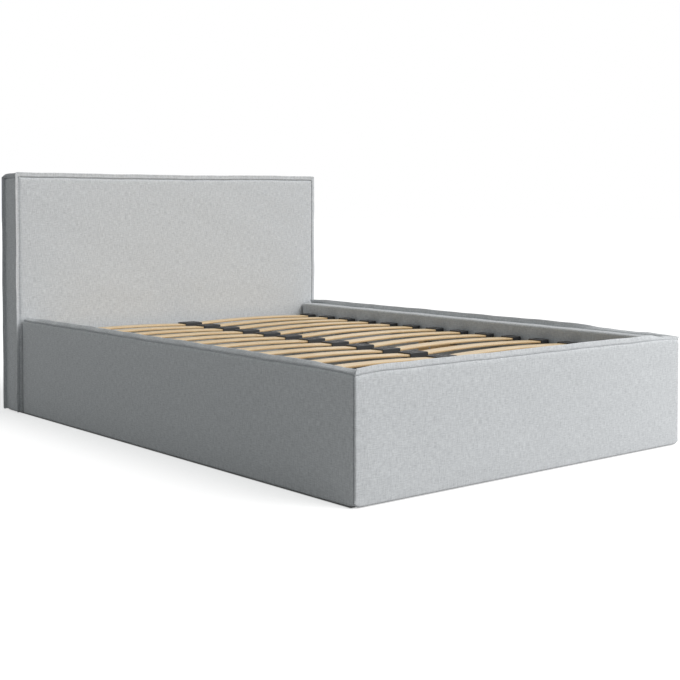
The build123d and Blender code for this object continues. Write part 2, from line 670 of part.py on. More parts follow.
def strut_cylinder():
    """The pressure tube with its lower eye and its gland."""
    end = strut_body_end()
    tube = upright(0, 0, STRUT_NECK_END, end, STRUT_RADIUS)
    bore = upright(0, 0, STRUT_NECK_END + STRUT_END_WALL, end - STRUT_GLAND_WALL, STRUT_BORE_RADIUS)
    gland = upright(0, 0, end - STRUT_GLAND_WALL, end, STRUT_ROD_RADIUS + RUNNING_CLEARANCE)
    return strut_eye(0, STRUT_NECK_END) + tube - bore - gland


def strut_rod():
    """The rod with its piston and its upper eye."""
    neck = STRUT_LENGTH - STRUT_NECK_END
    piston = upright(0, 0, STRUT_PISTON_START, STRUT_PISTON_START + STRUT_PISTON_LENGTH, STRUT_PISTON_RADIUS)
    rod = upright(0, 0, STRUT_PISTON_START, neck, STRUT_ROD_RADIUS)
    return strut_eye(STRUT_LENGTH, neck) + rod + piston


def strut_place():
    """The left strut's placement, from its lower stud towards its upper one."""
    along = (0, STRUT_FOOT[0] - STRUT_TOP[0], STRUT_TOP[1] - STRUT_FOOT[1])
    foot = (STRUT_LAYER - RAIL_INNER, HEAD_FACE - STRUT_FOOT[0], STRUT_FOOT[1])
    return Location(Plane(origin=foot, x_dir=(1, 0, 0), z_dir=along))


# Headboard

def headboard_block(inset, heights):
    """The headboard's box, inset alike on both sides, front and back."""
    return block(
        (inset - HEADBOARD_WIDTH / 2, HEADBOARD_WIDTH / 2 - inset),
        (HEAD_FACE + inset, HEAD_BACK - inset),
        heights,
    )


def headboard_flange(y_pair):
    """The raised seam along the top and down both sides of the front or the back."""
    wide = HEADBOARD_WIDTH / 2 + FLANGE_HEIGHT
    band = block((-wide, wide), y_pair, (GLIDE_HEIGHT, HEADBOARD_SEAM_HEIGHT + FLANGE_HEIGHT))
    half = HEADBOARD_WIDTH / 2
    return band - block((-half, half), y_pair, (GLIDE_HEIGHT, HEADBOARD_SEAM_HEIGHT))


def headboard_cover():
    """The sewn cover over the whole headboard, open along the underside."""
    shell = headboard_block(0, (GLIDE_HEIGHT, HEADBOARD_SEAM_HEIGHT))
    inside = headboard_block(COVER_WALL, (GLIDE_HEIGHT + COVER_WALL, HEADBOARD_SEAM_HEIGHT - COVER_WALL))
    slot_inset = COVER_WALL + HEAD_FRONT_FOAM
    slot = headboard_block(slot_inset, (GLIDE_HEIGHT - OVERRUN, GLIDE_HEIGHT + OVERRUN))
    front = headboard_flange((HEAD_FACE, HEAD_FACE + FLANGE_THICKNESS))
    back = headboard_flange((HEAD_BACK - FLANGE_THICKNESS, HEAD_BACK))
    return cut(shell - inside - slot + front + back, head_bolt_holes())


def head_bolt_holes():
    """The holes that the brackets' bolts need in the headboard."""
    left = [
        drilled(point, direction, BRACKET_THICKNESS + COVER_WALL + HEAD_BOLT_BITE, BOLT_RADIUS)
        for point, direction in bracket_bolt_places()
        if direction == HEADWARDS
    ]
    return both_sides(left)


HEAD_CORE_FRONT = HEAD_FACE + COVER_WALL + FOAM_GAP + HEAD_FRONT_FOAM
HEAD_CORE_BACK = HEAD_BACK - COVER_WALL - FOAM_GAP - HEAD_BACK_FOAM
HEAD_CORE_HALF = HEADBOARD_WIDTH / 2 - COVER_WALL - FOAM_GAP - HEAD_EDGE_FOAM
HEAD_CORE_TOP = HEADBOARD_SEAM_HEIGHT - COVER_WALL - FOAM_GAP - HEAD_EDGE_FOAM
HEAD_FRAME_FRONT = HEAD_CORE_FRONT + HEAD_FRONT_BOARD
HEAD_FRAME_BACK = HEAD_CORE_BACK - HEAD_BACK_BOARD
HEAD_BOLT_BITE = HEAD_FRONT_FOAM + HEAD_FRONT_BOARD + WOOD_BITE


def headboard_foam():
    """Foam round the headboard's core: thick in front, thin behind and at the edges."""
    inset = COVER_WALL + FOAM_GAP
    foam = headboard_block(inset, (BOARD_LOW + FOAM_GAP, HEADBOARD_SEAM_HEIGHT - inset))
    core = block(
        (-HEAD_CORE_HALF, HEAD_CORE_HALF),
        (HEAD_CORE_FRONT, HEAD_CORE_BACK),
        (GLIDE_HEIGHT, HEAD_CORE_TOP),
    )
    return cut(foam - core, head_bolt_holes())


def headboard_front_board():
    """The sheet behind the front foam."""
    board = block(
        (-HEAD_CORE_HALF, HEAD_CORE_HALF),
        (HEAD_CORE_FRONT, HEAD_FRAME_FRONT),
        (BOARD_LOW, HEAD_CORE_TOP),
    )
    return cut(board, head_bolt_holes())


def headboard_back_board():
    """The thin sheet behind the timber frame."""
    return block(
        (-HEAD_CORE_HALF, HEAD_CORE_HALF),
        (HEAD_FRAME_BACK, HEAD_CORE_BACK),
        (BOARD_LOW, HEAD_CORE_TOP),
    )


def headboard_frame():
    """Battens between the two sheets: posts, and cross pieces between the posts."""
    depth = (HEAD_FRAME_FRONT, HEAD_FRAME_BACK)
    span = 2 * HEAD_CORE_HALF - HEAD_BATTEN_WIDTH
    lefts = [share * span - HEAD_CORE_HALF for share in HEAD_POST_SHARES]
    posts = [block((left, left + HEAD_BATTEN_WIDTH), depth, (BOARD_LOW, HEAD_CORE_TOP)) for left in lefts]
    highest = HEAD_CORE_TOP - HEAD_BATTEN_WIDTH
    middle = part_way(BOARD_LOW, highest, HEAD_MIDDLE_BATTEN_SHARE)
    rails = []
    for left, right in zip(lefts[:-1], lefts[1:]):
        for low in (BOARD_LOW, middle, highest):
            rails.append(block((left + HEAD_BATTEN_WIDTH, right), depth, (low, low + HEAD_BATTEN_WIDTH)))
    return [cut(batten, head_bolt_holes()) for batten in posts + rails]


# Brackets, glides and ledges

def angle_bracket(corner_y, towards):
    """A left corner angle between the rail and the panel whose face is at corner_y."""
    x_pair = (-RAIL_INNER, -RAIL_INNER + BRACKET_LEG)
    near = sorted((corner_y, corner_y + towards * BRACKET_LEG))
    heights = (BRACKET_BASE_HEIGHT, BRACKET_BASE_HEIGHT + BRACKET_HEIGHT)
    angle = block(x_pair, near, heights)
    hollow_y = sorted((corner_y + towards * BRACKET_THICKNESS, corner_y + towards * BRACKET_LEG * 2))
    hollow = block((-RAIL_INNER + BRACKET_THICKNESS, -RAIL_INNER + BRACKET_LEG * 2), hollow_y, heights)
    bend = hollow.edges().filter_by(Axis.Z).sort_by_distance((-RAIL_INNER, corner_y, BRACKET_BASE_HEIGHT))[0]
    angle = angle - fillet(bend, BRACKET_BEND_RADIUS)
    return cut(angle, [drilled(*place, BOLT_LENGTH, BOLT_RADIUS) for place in bracket_bolt_places()])


def glide(x, y):
    """A round plastic glide nailed under a panel."""
    disc = upright(x, y, 0, GLIDE_HEIGHT, GLIDE_RADIUS)
    return chamfer(disc.edges().sort_by(Axis.Z)[0], GLIDE_EDGE)


def glides():
    """Glides under the rails, the footboard and the headboard."""
    rail_x = (BOARD_OUTER + BOARD_INNER) / 2 - BED_WIDTH / 2
    lefts = [glide(rail_x, part_way(FOOT_INNER, HEAD_FACE, share)) for share in GLIDE_SHARES]
    foot_y = FOOT_FACE + (BOARD_OUTER + BOARD_INNER) / 2
    head_y = (HEAD_FRAME_FRONT + HEAD_FRAME_BACK) / 2
    across = []
    for share in FOOT_GLIDE_SHARES:
        x = part_way(-RAIL_INNER, RAIL_INNER, share)
        across += [glide(x, foot_y), glide(x, head_y)]
    return both_sides(lefts) + across


def side_ledge():
    """The left batten that the platform's side tube comes down on."""
    ledge = block(
        (-RAIL_INNER, -RAIL_INNER + SUPPORT_LEDGE_THICKNESS),
        side_ledge_run(),
        (LEDGE_TOP - SUPPORT_LEDGE_HEIGHT, LEDGE_TOP),
    )
    return cut(ledge, [drilled(*place, SCREW_RADIUS) for place in side_screw_places()])


def foot_ledge():
    """The batten across the foot end, between the two side ledges."""
    ledge = block(
        foot_ledge_run(),
        (FOOT_INNER, FOOT_INNER + SUPPORT_LEDGE_THICKNESS),
        (LEDGE_TOP - SUPPORT_LEDGE_HEIGHT, LEDGE_TOP),
    )
    return cut(ledge, [drilled(*place, SCREW_RADIUS) for place in foot_screw_places()])


def floor_ledge():
    """The left batten under the storage floor."""
    ledge = block(
        (-RAIL_INNER, -RAIL_INNER + FLOOR_LEDGE_WIDTH),
        floor_ledge_run(),
        (FLOOR_LEDGE_LOW, FLOOR_PANEL_LEVEL),
    )
    return cut(ledge, [drilled(*place, SCREW_RADIUS) for place in side_screw_places()])


def buffers():
    """Rubber buffers on the ledges, just under the platform's tubes."""
    side_x = -PLATFORM_SIDE + BUFFER_RADIUS + CLEARANCE
    foot_y = FOOT_INNER + SUPPORT_LEDGE_THICKNESS - BUFFER_RADIUS - CLEARANCE
    lefts = []
    for share in BUFFER_SHARES:
        y = part_way(*side_ledge_run(), share)
        lefts.append(upright(side_x, y, LEDGE_TOP, BUFFER_TOP, BUFFER_RADIUS))
    across = []
    for share in FOOT_BUFFER_SHARES:
        x = part_way(*foot_ledge_run(), share)
        across.append(upright(x, foot_y, LEDGE_TOP, BUFFER_TOP, BUFFER_RADIUS))
    return both_sides(lefts) + across


def centre_batten():
    """The batten down the middle that the floor panels meet on."""
    half = CENTRE_BATTEN_WIDTH / 2
    return block((-half, half), floor_ledge_run(), (FLOOR_LEDGE_LOW, FLOOR_PANEL_LEVEL))


def centre_feet():
    """Plastic feet under the centre batten."""
    feet = []
    for share in CENTRE_FOOT_SHARES:
        cone = Cone(CENTRE_FOOT_RADIUS, CENTRE_FOOT_TOP_RADIUS, FLOOR_LEDGE_LOW)
        feet.append(Pos(0, part_way(*floor_ledge_run(), share), FLOOR_LEDGE_LOW / 2) * cone)
    return feet


def floor_panels():
    """Four thin boards laid on the ledges and the centre batten."""
    outer = RAIL_INNER - FLOOR_PANEL_EDGE_GAP
    run = floor_ledge_run()
    middle = (run[0] + run[1]) / 2
    heights = (FLOOR_PANEL_LEVEL, FLOOR_PANEL_LEVEL + FLOOR_PANEL_THICKNESS)
    lefts = []
    for y_pair in ((run[0], middle - FLOOR_PANEL_GAP / 2), (middle + FLOOR_PANEL_GAP / 2, run[1])):
        lefts.append(block((-outer, -FLOOR_PANEL_GAP / 2), y_pair, heights))
    return both_sides(lefts)


# Platform

def box_tube(x_pair, y_pair, z_pair, along):
    """A rectangular steel tube, open at both ends along X or Y."""
    x_wall = TUBE_WALL if along == "Y" else -OVERRUN
    y_wall = TUBE_WALL if along == "X" else -OVERRUN
    bore = block(
        (x_pair[0] + x_wall, x_pair[1] - x_wall),
        (y_pair[0] + y_wall, y_pair[1] - y_wall),
        (z_pair[0] + TUBE_WALL, z_pair[1] - TUBE_WALL),
    )
    return block(x_pair, y_pair, z_pair) - bore


def side_tube():
    """The platform's left tube."""
    tube = box_tube(
        (-PLATFORM_SIDE, -PLATFORM_SIDE + TUBE_WIDTH),
        (PLATFORM_FOOT, PLATFORM_HEAD),
        (TUBE_LEVEL, TUBE_TOP),
        "Y",
    )
    return cut(tube, [flange_bolt_hole(y) for y in flange_bolt_places()])


def end_tube(y_pair):
    """A tube across the platform's head or foot, between the side tubes."""
    half = PLATFORM_SIDE - TUBE_WIDTH
    return box_tube((-half, half), y_pair, (TUBE_LEVEL, TUBE_TOP), "X")


def centre_tube():
    """The tube down the platform's middle."""
    return box_tube(
        (-TUBE_WIDTH / 2, TUBE_WIDTH / 2),
        (PLATFORM_FOOT + TUBE_WIDTH, PLATFORM_HEAD - TUBE_WIDTH),
        (TUBE_LEVEL, TUBE_TOP),
        "Y",
    )


def cross_tubes():
    """Low tubes that brace the side tubes to the centre tube."""
    lefts = []
    for share in CROSS_TUBE_SHARES:
        y = part_way(PLATFORM_HEAD, PLATFORM_FOOT, share)
        lefts.append(box_tube(
            (-PLATFORM_SIDE + TUBE_WIDTH, -TUBE_WIDTH / 2),
            (y - TUBE_WIDTH / 2, y + TUBE_WIDTH / 2),
            (TUBE_LEVEL, TUBE_LEVEL + CROSS_TUBE_HEIGHT),
            "X",
        ))
    return both_sides(lefts)


def tube_plugs():
    """Plastic plugs in the four open ends of the side tubes."""
    x_pair = (-PLATFORM_SIDE, -PLATFORM_SIDE + TUBE_WIDTH)
    room = TUBE_WALL + CLEARANCE
    lefts = []
    for end, way in ((PLATFORM_HEAD, 1), (PLATFORM_FOOT, -1)):
        cap = block(x_pair, sorted((end, end + way * PLUG_CAP)), (TUBE_LEVEL, TUBE_TOP))
        stem = block(
            (x_pair[0] + room, x_pair[1] - room),
            sorted((end, end - way * PLUG_DEPTH)),
            (TUBE_LEVEL + room, TUBE_TOP - room),
        )
        lefts.append(cap + stem)
    return both_sides(lefts)


SLAT_OUTER_END = -PLATFORM_SIDE + HOLDER_WALL + CLEARANCE
SLAT_INNER_END = -HOLDER_WALL / 2 - CLEARANCE
SLAT_END_LEVEL = TUBE_TOP + HOLDER_BASE + CLEARANCE


def slat_rows():
    """The middle of each slat along Y."""
    first = PLATFORM_HEAD - SLAT_END_ROOM
    last = PLATFORM_FOOT + TUBE_WIDTH + SLAT_END_ROOM
    return [part_way(first, last, row / (SLAT_ROWS - 1)) for row in range(SLAT_ROWS)]


def slat(y):
    """A left slat: plywood bent upwards in the middle."""
    middle = (SLAT_OUTER_END + SLAT_INNER_END) / 2
    low, high = SLAT_END_LEVEL, SLAT_END_LEVEL + SLAT_THICKNESS
    under = ThreePointArc((SLAT_OUTER_END, low), (middle, low + SLAT_BOW), (SLAT_INNER_END, low))
    over = ThreePointArc((SLAT_INNER_END, high), (middle, high + SLAT_BOW), (SLAT_OUTER_END, high))
    ends = [
        Line((SLAT_INNER_END, low), (SLAT_INNER_END, high)),
        Line((SLAT_OUTER_END, high), (SLAT_OUTER_END, low)),
    ]
    section = make_face(Curve() + [under, over] + ends)
    strip = extrude(Plane.XZ * section, amount=SLAT_WIDTH)
    return Pos(0, y + SLAT_WIDTH / 2, 0) * strip


def holder_body(x_pair, y):
    """A holder's outer block, standing on a tube, its top edges bevelled."""
    half = SLAT_WIDTH / 2 + CLEARANCE + HOLDER_WALL
    top = TUBE_TOP + HOLDER_BASE + HOLDER_SLOT_HEIGHT + HOLDER_WALL
    body = block(x_pair, (y - half, y + half), (TUBE_TOP, top))
    return chamfer(body.faces().sort_by(Axis.Z)[-1].edges(), HOLDER_WALL / 2)


def holder_slot(x_pair, y):
    """The pocket that a slat's end sits in."""
    half = SLAT_WIDTH / 2 + CLEARANCE
    low = TUBE_TOP + HOLDER_BASE
    return block(x_pair, (y - half, y + half), (low, low + HOLDER_SLOT_HEIGHT))


def side_holder(y):
    """A left holder: one pocket, open towards the middle."""
    x_pair = (-PLATFORM_SIDE, -PLATFORM_SIDE + HOLDER_LENGTH)
    pocket = (x_pair[0] + HOLDER_WALL, x_pair[1] + OVERRUN)
    return holder_body(x_pair, y) - holder_slot(pocket, y)


def centre_holder(y):
    """A double holder on the centre tube: a pocket on each side."""
    body = holder_body((-HOLDER_LENGTH, HOLDER_LENGTH), y)
    pocket = holder_slot((-HOLDER_LENGTH - OVERRUN, -HOLDER_WALL / 2), y)
    return cut(body, both_sides([pocket]))


def mattress_retainer():
    """A bent steel rod that stands on the foot tube and stops the mattress sliding."""
    half = RETAINER_WIDTH / 2
    y = PLATFORM_FOOT + RETAINER_INSET
    top = TUBE_TOP + RETAINER_HEIGHT
    path = FilletPolyline(
        (-half, y, TUBE_TOP),
        (-half, y, top),
        (half, y, top),
        (half, y, TUBE_TOP),
        radius=RETAINER_BEND,
    )
    section = Plane(origin=path @ 0, z_dir=path % 0) * Circle(RETAINER_RADIUS)
    return sweep(section, path=path)


def strap_face():
    """The face of the foot tube that the strap is riveted to."""
    return PLATFORM_FOOT - CLEARANCE


def pull_strap():
    """A loop of webbing at the foot end, to lift the platform by."""
    half = STRAP_SPREAD / 2
    top = TUBE_TOP + STRAP_RISE
    low = STRAP_LEVEL - STRAP_TAIL / 2
    legs = Line((-half, low), (-half, top - half)), Line((half, top - half), (half, low))
    arch = ThreePointArc((-half, top - half), (0, top), (half, top - half))
    inner = half - STRAP_WIDTH
    inner_legs = Line((-inner, low), (-inner, top - half)), Line((inner, top - half), (inner, low))
    inner_arch = ThreePointArc((-inner, top - half), (0, top - STRAP_WIDTH), (inner, top - half))
    feet = Line((-half, low), (-inner, low)), Line((half, low), (inner, low))
    outline = make_face(Curve() + [*legs, arch, *inner_legs, inner_arch, *feet])
    strap = extrude(Plane.XZ * outline, amount=STRAP_THICKNESS)
    strap = Pos(0, strap_face(), 0) * strap
    return cut(strap, [strap_rivet_bar(x, CLEARANCE) for x in strap_rivet_places()])


def strap_rivet_places():
    """Where the strap's two rivets stand along X."""
    reach = (STRAP_SPREAD - STRAP_WIDTH) / 2
    return (-reach, reach)


def strap_rivet_bar(x, extra):
    """A rivet's shank along Y, or its hole when made a little wider."""
    shank = Rot(90, 0, 0) * Cylinder(STRAP_RIVET_RADIUS / 2 + extra, STRAP_THICKNESS + 2 * TUBE_WALL)
    return Pos(x, strap_face() - STRAP_THICKNESS / 2, STRAP_LEVEL) * shank


def strap_rivet(x):
    """A rivet through the strap and the foot tube's wall."""
    head_y = strap_face() - STRAP_THICKNESS - STRAP_RIVET_HEIGHT / 2
    head = Pos(x, head_y, STRAP_LEVEL) * Rot(90, 0, 0) * Cylinder(STRAP_RIVET_RADIUS, STRAP_RIVET_HEIGHT)
    return head + strap_rivet_bar(x, 0)


def write(name, shape):
    """Each node goes to its own file."""
    export_step(shape, f"parts/{name}.step")


# Fastener holes that the left rail and the footboard share with what is fixed to them
rail_holes = [
    drilled(point, direction, BOLT_LENGTH, BOLT_RADIUS)
    for point, direction in bracket_bolt_places()
    if direction == OUTWARDS
]
rail_holes += [drilled(*place, SCREW_RADIUS) for place in side_screw_places() + plate_screw_places()]
foot_holes = both_sides([
    drilled(point, direction, BOLT_LENGTH, BOLT_RADIUS)
    for point, direction in bracket_bolt_places()
    if direction == FOOTWARDS
])
foot_holes += [drilled(*place, SCREW_RADIUS) for place in foot_screw_places()]

# Side rails
rail_cover = cut(RAIL_PLACE * panel_cover(RAIL_LENGTH, RAIL_ENDS), rail_holes)
rail_board = cut(RAIL_PLACE * panel_board(RAIL_LENGTH, RAIL_ENDS), rail_holes)
rail_foam = RAIL_PLACE * panel_foam(RAIL_LENGTH, RAIL_ENDS)
for name, piece in (("cover", rail_cover), ("board", rail_board), ("foam", rail_foam)):
    write(f"left_rail_{name}", piece)
    write(f"right_rail_{name}", flipped(piece))

# Footboard
write("footboard_cover", cut(FOOTBOARD_PLACE * panel_cover(BED_WIDTH, FOOTBOARD_ENDS), foot_holes))
write("footboard_board", cut(FOOTBOARD_PLACE * panel_board(BED_WIDTH, FOOTBOARD_ENDS), foot_holes))
write("footboard_foam", FOOTBOARD_PLACE * panel_foam(BED_WIDTH, FOOTBOARD_ENDS))

# Headboard
write("headboard_cover", headboard_cover())
write("headboard_foam", headboard_foam())
write("headboard_front_board", headboard_front_board())
write("headboard_back_board", headboard_back_board())
write("headboard_frame", group(headboard_frame()))

# Joints between the panels, and what they stand on
left_bolts = []
for point, direction in bracket_bolt_places():
    length = BRACKET_THICKNESS + COVER_WALL + HEAD_BOLT_BITE if direction == HEADWARDS else BOLT_LENGTH
    left_bolts.append(bolt(point, direction, length))
write("corner_brackets", group(both_sides([angle_bracket(FOOT_INNER, 1), angle_bracket(HEAD_FACE, -1)])))
write("corner_bolts", group(both_sides(left_bolts)))
write("glides", group(glides()))

# Storage floor
write("floor_ledges", group(both_sides([floor_ledge()])))
write("floor_centre_batten", centre_batten())
write("centre_feet", group(centre_feet()))
write("floor_panels", group(floor_panels()))

# What the platform comes down on
write("side_ledges", group(both_sides([side_ledge()])))
write("foot_ledge", foot_ledge())
ledge_screws = both_sides([screw(*place) for place in side_screw_places()])
write("ledge_screws", group(ledge_screws + [screw(*place) for place in foot_screw_places()]))
write("rubber_buffers", group(buffers()))

# Platform
write("side_tubes", group(both_sides([side_tube()])))
write("head_tube", end_tube((PLATFORM_HEAD - TUBE_WIDTH, PLATFORM_HEAD)))
write("foot_tube", cut(
    end_tube((PLATFORM_FOOT, PLATFORM_FOOT + TUBE_WIDTH)),
    [strap_rivet_bar(x, CLEARANCE) for x in strap_rivet_places()],
))
write("centre_tube", centre_tube())
write("cross_tubes", group(cross_tubes()))
write("tube_plugs", group(tube_plugs()))
left_slats = [slat(y) for y in slat_rows()]
write("left_slats", group(left_slats))
write("right_slats", group(flipped(piece) for piece in left_slats))
left_holders = [side_holder(y) for y in slat_rows()]
write("left_slat_holders", group(left_holders))
write("right_slat_holders", group(flipped(piece) for piece in left_holders))
write("centre_slat_holders", group(centre_holder(y) for y in slat_rows()))
write("mattress_retainer", mattress_retainer())
write("pull_strap", pull_strap())
write("strap_rivets", group(strap_rivet(x) for x in strap_rivet_places()))

# Lift, left and right
left_lift = {
    "base_plate": base_plate(),
    "rear_lever": rear_lever(),
    "strut_stud": strut_top_stud(),
    "front_lever": front_lever(),
    "front_lever_pin": front_lever_pin(),
    "lift_bracket": lift_bracket(),
    "strut_cylinder": strut_place() * strut_cylinder(),
    "strut_rod": strut_place() * strut_rod(),
}
for name, piece in left_lift.items():
    write(f"left_{name}", piece)
    write(f"right_{name}", flipped(piece))
write("ground_pins", group(both_sides(ground_pins())))
write("bracket_pins", group(both_sides([bracket_pin()])))
write("strut_foot_studs", group(both_sides([strut_stud(STRUT_FOOT, BASE_PLATE_THICKNESS, [])])))
write("plate_screws", group(both_sides([sunk_screw(*place) for place in plate_screw_places()])))
write("bracket_bolts", group(both_sides([flange_bolt(y) for y in flange_bolt_places()])))
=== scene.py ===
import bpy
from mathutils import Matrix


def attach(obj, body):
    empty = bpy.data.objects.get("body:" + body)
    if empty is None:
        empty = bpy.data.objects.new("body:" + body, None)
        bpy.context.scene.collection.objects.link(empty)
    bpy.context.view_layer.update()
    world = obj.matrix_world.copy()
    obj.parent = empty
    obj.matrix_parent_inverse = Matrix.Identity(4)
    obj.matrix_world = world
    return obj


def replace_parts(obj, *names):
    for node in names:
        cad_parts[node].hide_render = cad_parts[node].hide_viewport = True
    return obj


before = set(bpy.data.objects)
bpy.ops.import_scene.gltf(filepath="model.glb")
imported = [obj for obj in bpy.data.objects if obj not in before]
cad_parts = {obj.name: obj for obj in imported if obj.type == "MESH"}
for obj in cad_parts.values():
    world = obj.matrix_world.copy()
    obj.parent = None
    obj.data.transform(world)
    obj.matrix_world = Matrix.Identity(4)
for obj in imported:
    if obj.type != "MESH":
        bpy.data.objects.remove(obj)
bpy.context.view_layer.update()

import math

import bmesh
import bpy
import numpy as np


# Camera: low and close, off the bed's near left corner, with a slightly long lens.
# The lens is shifted down a little, so upright edges stay nearly upright.

camera_data = bpy.data.cameras.new("view_camera")
camera_data.sensor_width = 36
camera_data.lens = 66.045
camera_data.shift_y = -0.135
camera = bpy.data.objects.new("view_camera", camera_data)
camera.location = (-3.0529, -3.8481, 0.8672)
camera.rotation_euler = (math.radians(90 - 1.9245), 0, math.radians(-39.521))
bpy.context.scene.collection.objects.link(camera)
bpy.context.scene.camera = camera


# Headboard timber: planed pine posts and cross pieces, screwed and glued.
# Pale yellow sapwood, dull, with darker growth lines along each piece. The cover hides it.

MM = 0.001


def linear(code):
    """A hex colour as linear numbers."""
    parts = [int(code[i:i + 2], 16) / 255 for i in (1, 3, 5)]
    return tuple(p / 12.92 if p <= 0.04045 else ((p + 0.055) / 1.055) ** 2.4 for p in parts) + (1.0,)


def add(tree, kind, feeds=(), **settings):
    """Adds a node with its settings. Its inputs, by name or in order, take numbers, links or whole nodes."""
    node = tree.nodes.new(kind)
    for name, value in settings.items():
        setattr(node, name, value)
    for key, value in feeds.items() if isinstance(feeds, dict) else enumerate(feeds):
        if isinstance(value, bpy.types.Node):
            value = value.outputs[0]
        if isinstance(value, bpy.types.NodeSocket):
            tree.links.new(value, node.inputs[key])
        else:
            node.inputs[key].default_value = value
    return node


def finish_of(name, values):
    """A new material with numbers set on its shader: the material, its tree and the shader."""
    material = bpy.data.materials.new(name)
    material.use_nodes = True
    tree = material.node_tree
    shader = tree.nodes["Principled BSDF"]
    for key, value in values.items():
        shader.inputs[key].default_value = value
    return material, tree, shader


def along(tree, *sizes_mm):
    """Object coordinates counted in steps of a size in millimetres, one for all axes or one for each."""
    scale = [1 / (size * MM) for size in sizes_mm] * (3 // len(sizes_mm))
    place = add(tree, "ShaderNodeTexCoord").outputs["Object"]
    return add(tree, "ShaderNodeMapping", {0: place, "Scale": scale})


def dressed(tree, shader, height, depth_mm, colour=None, layers=()):
    """Gives a shader a bump of a real depth from a height of 0 to 1, and a colour with others laid over it.
    Each layer is a value, its colour, and the limits that the value is stretched between, if any."""
    bump = add(tree, "ShaderNodeBump", {"Distance": depth_mm * MM, "Height": height})
    tree.links.new(bump.outputs[0], shader.inputs["Normal"])
    if layers:
        colour = linear(colour)
        for value, over, *limits in layers:
            factor = add(tree, "ShaderNodeMapRange", [value, *limits]) if limits else value
            mix = add(tree, "ShaderNodeMix", {0: factor, 6: colour, 7: linear(over)}, data_type="RGBA")
            colour = mix.outputs[2]
        tree.links.new(colour, shader.inputs["Base Color"])


def coat_nodes(material, *nodes):
    """Gives CAD nodes this material in every slot."""
    for name in nodes:
        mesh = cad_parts[name].data
        if not mesh.materials:
            mesh.materials.append(material)
        for i in range(len(mesh.materials)):
            mesh.materials[i] = material


def planed_pine(name, grain_axis):
    """Planed pine: growth lines 9 mm apart that run along one axis, with finer pores."""
    material, tree, shader = finish_of(name, {"Roughness": 0.62})
    lines, fine = [9] * 3, [0.9] * 3
    lines[grain_axis] *= 30
    fine[grain_axis] *= 40
    rings = add(tree, "ShaderNodeTexNoise",
        {0: along(tree, *lines), "Scale": 1.0, "Detail": 3.0, "Distortion": 0.6})
    pores = add(tree, "ShaderNodeTexNoise", {0: along(tree, *fine), "Scale": 1.0, "Detail": 2.0})
    dressed(tree, shader, pores, 0.12, "#E2C79B",
        [(rings, "#C59A63", 0.35, 0.65), (pores, "#C59A63", 0.3, 0.8, 0.0, 0.35)])
    return material


coat_nodes(planed_pine("pine_sapwood_planed_upright", 2), "headboard_frame")


# Headboard boards: raw chipboard in front and a thin fibreboard sheet behind.
# Both are brown, matt and flecked. The cover hides them.

def pressed_board(name, pale, dark, fleck_mm):
    """Pressed wood chips or fibres: flecks of several browns."""
    material, tree, shader = finish_of(name, {"Roughness": 0.8})
    flecks = add(tree, "ShaderNodeTexVoronoi", {0: along(tree, fleck_mm), "Scale": 1.0})
    split = add(tree, "ShaderNodeSeparateColor", [flecks.outputs["Color"]])
    dressed(tree, shader, flecks.outputs["Distance"], 0.2, pale, [(split, dark)])
    return material


chipboard = pressed_board("chipboard_raw", "#C9A878", "#9C7A4D", 3)
fibreboard = pressed_board("hardboard_raw", "#8D6A44", "#6F5031", 1.2)
coat_nodes(chipboard, "headboard_front_board")
coat_nodes(fibreboard, "headboard_back_board")


# Headboard upholstery: woven cloth over foam, sewn as a front, a back and a band round the edge.
# Each seam is left standing as a flat double flange, with a tight line of stitching at its foot.
# The cloth is a matt heather of pale grey yarns, so it looks flat from afar and mottled close by.

def new_parts():
    """Empty lists of points, faces and cloth places for one mesh."""
    return {"points": [], "faces": [], "cloth": [], "flat": []}


def add_points(parts, points):
    """Adds an array of points in millimetres and returns their numbers in the same shape."""
    flat = np.asarray(points, float).reshape(-1, 3)
    start = sum(len(block) for block in parts["points"])
    parts["points"].append(flat)
    return np.arange(start, start + len(flat)).reshape(np.asarray(points).shape[:-1])


def add_patch(parts, numbers, cloth, flip=False):
    """Adds the quads of a grid of numbered points, with the cloth's own places in millimetres."""
    for r in range(numbers.shape[0] - 1):
        for c in range(numbers.shape[1] - 1):
            corners = [(r, c), (r, c + 1), (r + 1, c + 1), (r + 1, c)]
            if flip:
                corners.reverse()
            parts["faces"].append([int(numbers[i]) for i in corners])
            parts["cloth"].extend(cloth[i] for i in corners)
            parts["flat"].append(False)


def add_lid(parts, numbers, cloth, flip=False):
    """Adds one flat face through a ring of numbered points."""
    ring, places = list(numbers), list(cloth)
    if flip:
        ring.reverse()
        places.reverse()
    parts["faces"].append([int(i) for i in ring])
    parts["cloth"].extend(places)
    parts["flat"].append(True)


def made_mesh(name, parts, material):
    """One smooth mesh from these lists, its faces outwards, with the cloth's places as a UV map in metres."""
    mesh = bpy.data.meshes.new(name)
    mesh.from_pydata((np.concatenate(parts["points"]) * MM).tolist(), [], parts["faces"])
    layer = mesh.uv_layers.new(name="cloth")
    layer.data.foreach_set("uv", (np.asarray(parts["cloth"], float) * MM).ravel())
    mesh.polygons.foreach_set("use_smooth", [not flat for flat in parts["flat"]])
    mesh.materials.append(material)
    mesh.validate()
    shell = bmesh.new()
    shell.from_mesh(mesh)
    bmesh.ops.recalc_face_normals(shell, faces=shell.faces)
    shell.to_mesh(mesh)
    shell.free()
    piece = bpy.data.objects.new(name, mesh)
    bpy.context.scene.collection.objects.link(piece)
    return piece


def closed(rings):
    """A grid of rings with its first column once more at the end."""
    return np.concatenate([rings, rings[:, :1]], axis=1)


def sway(places, lengths, starts):
    """A smooth uneven wave from -1 to 1 along a line, from waves of several lengths in millimetres."""
    return sum(np.sin(places * 2 * np.pi / l + s) for l, s in zip(lengths, starts)) / len(lengths)


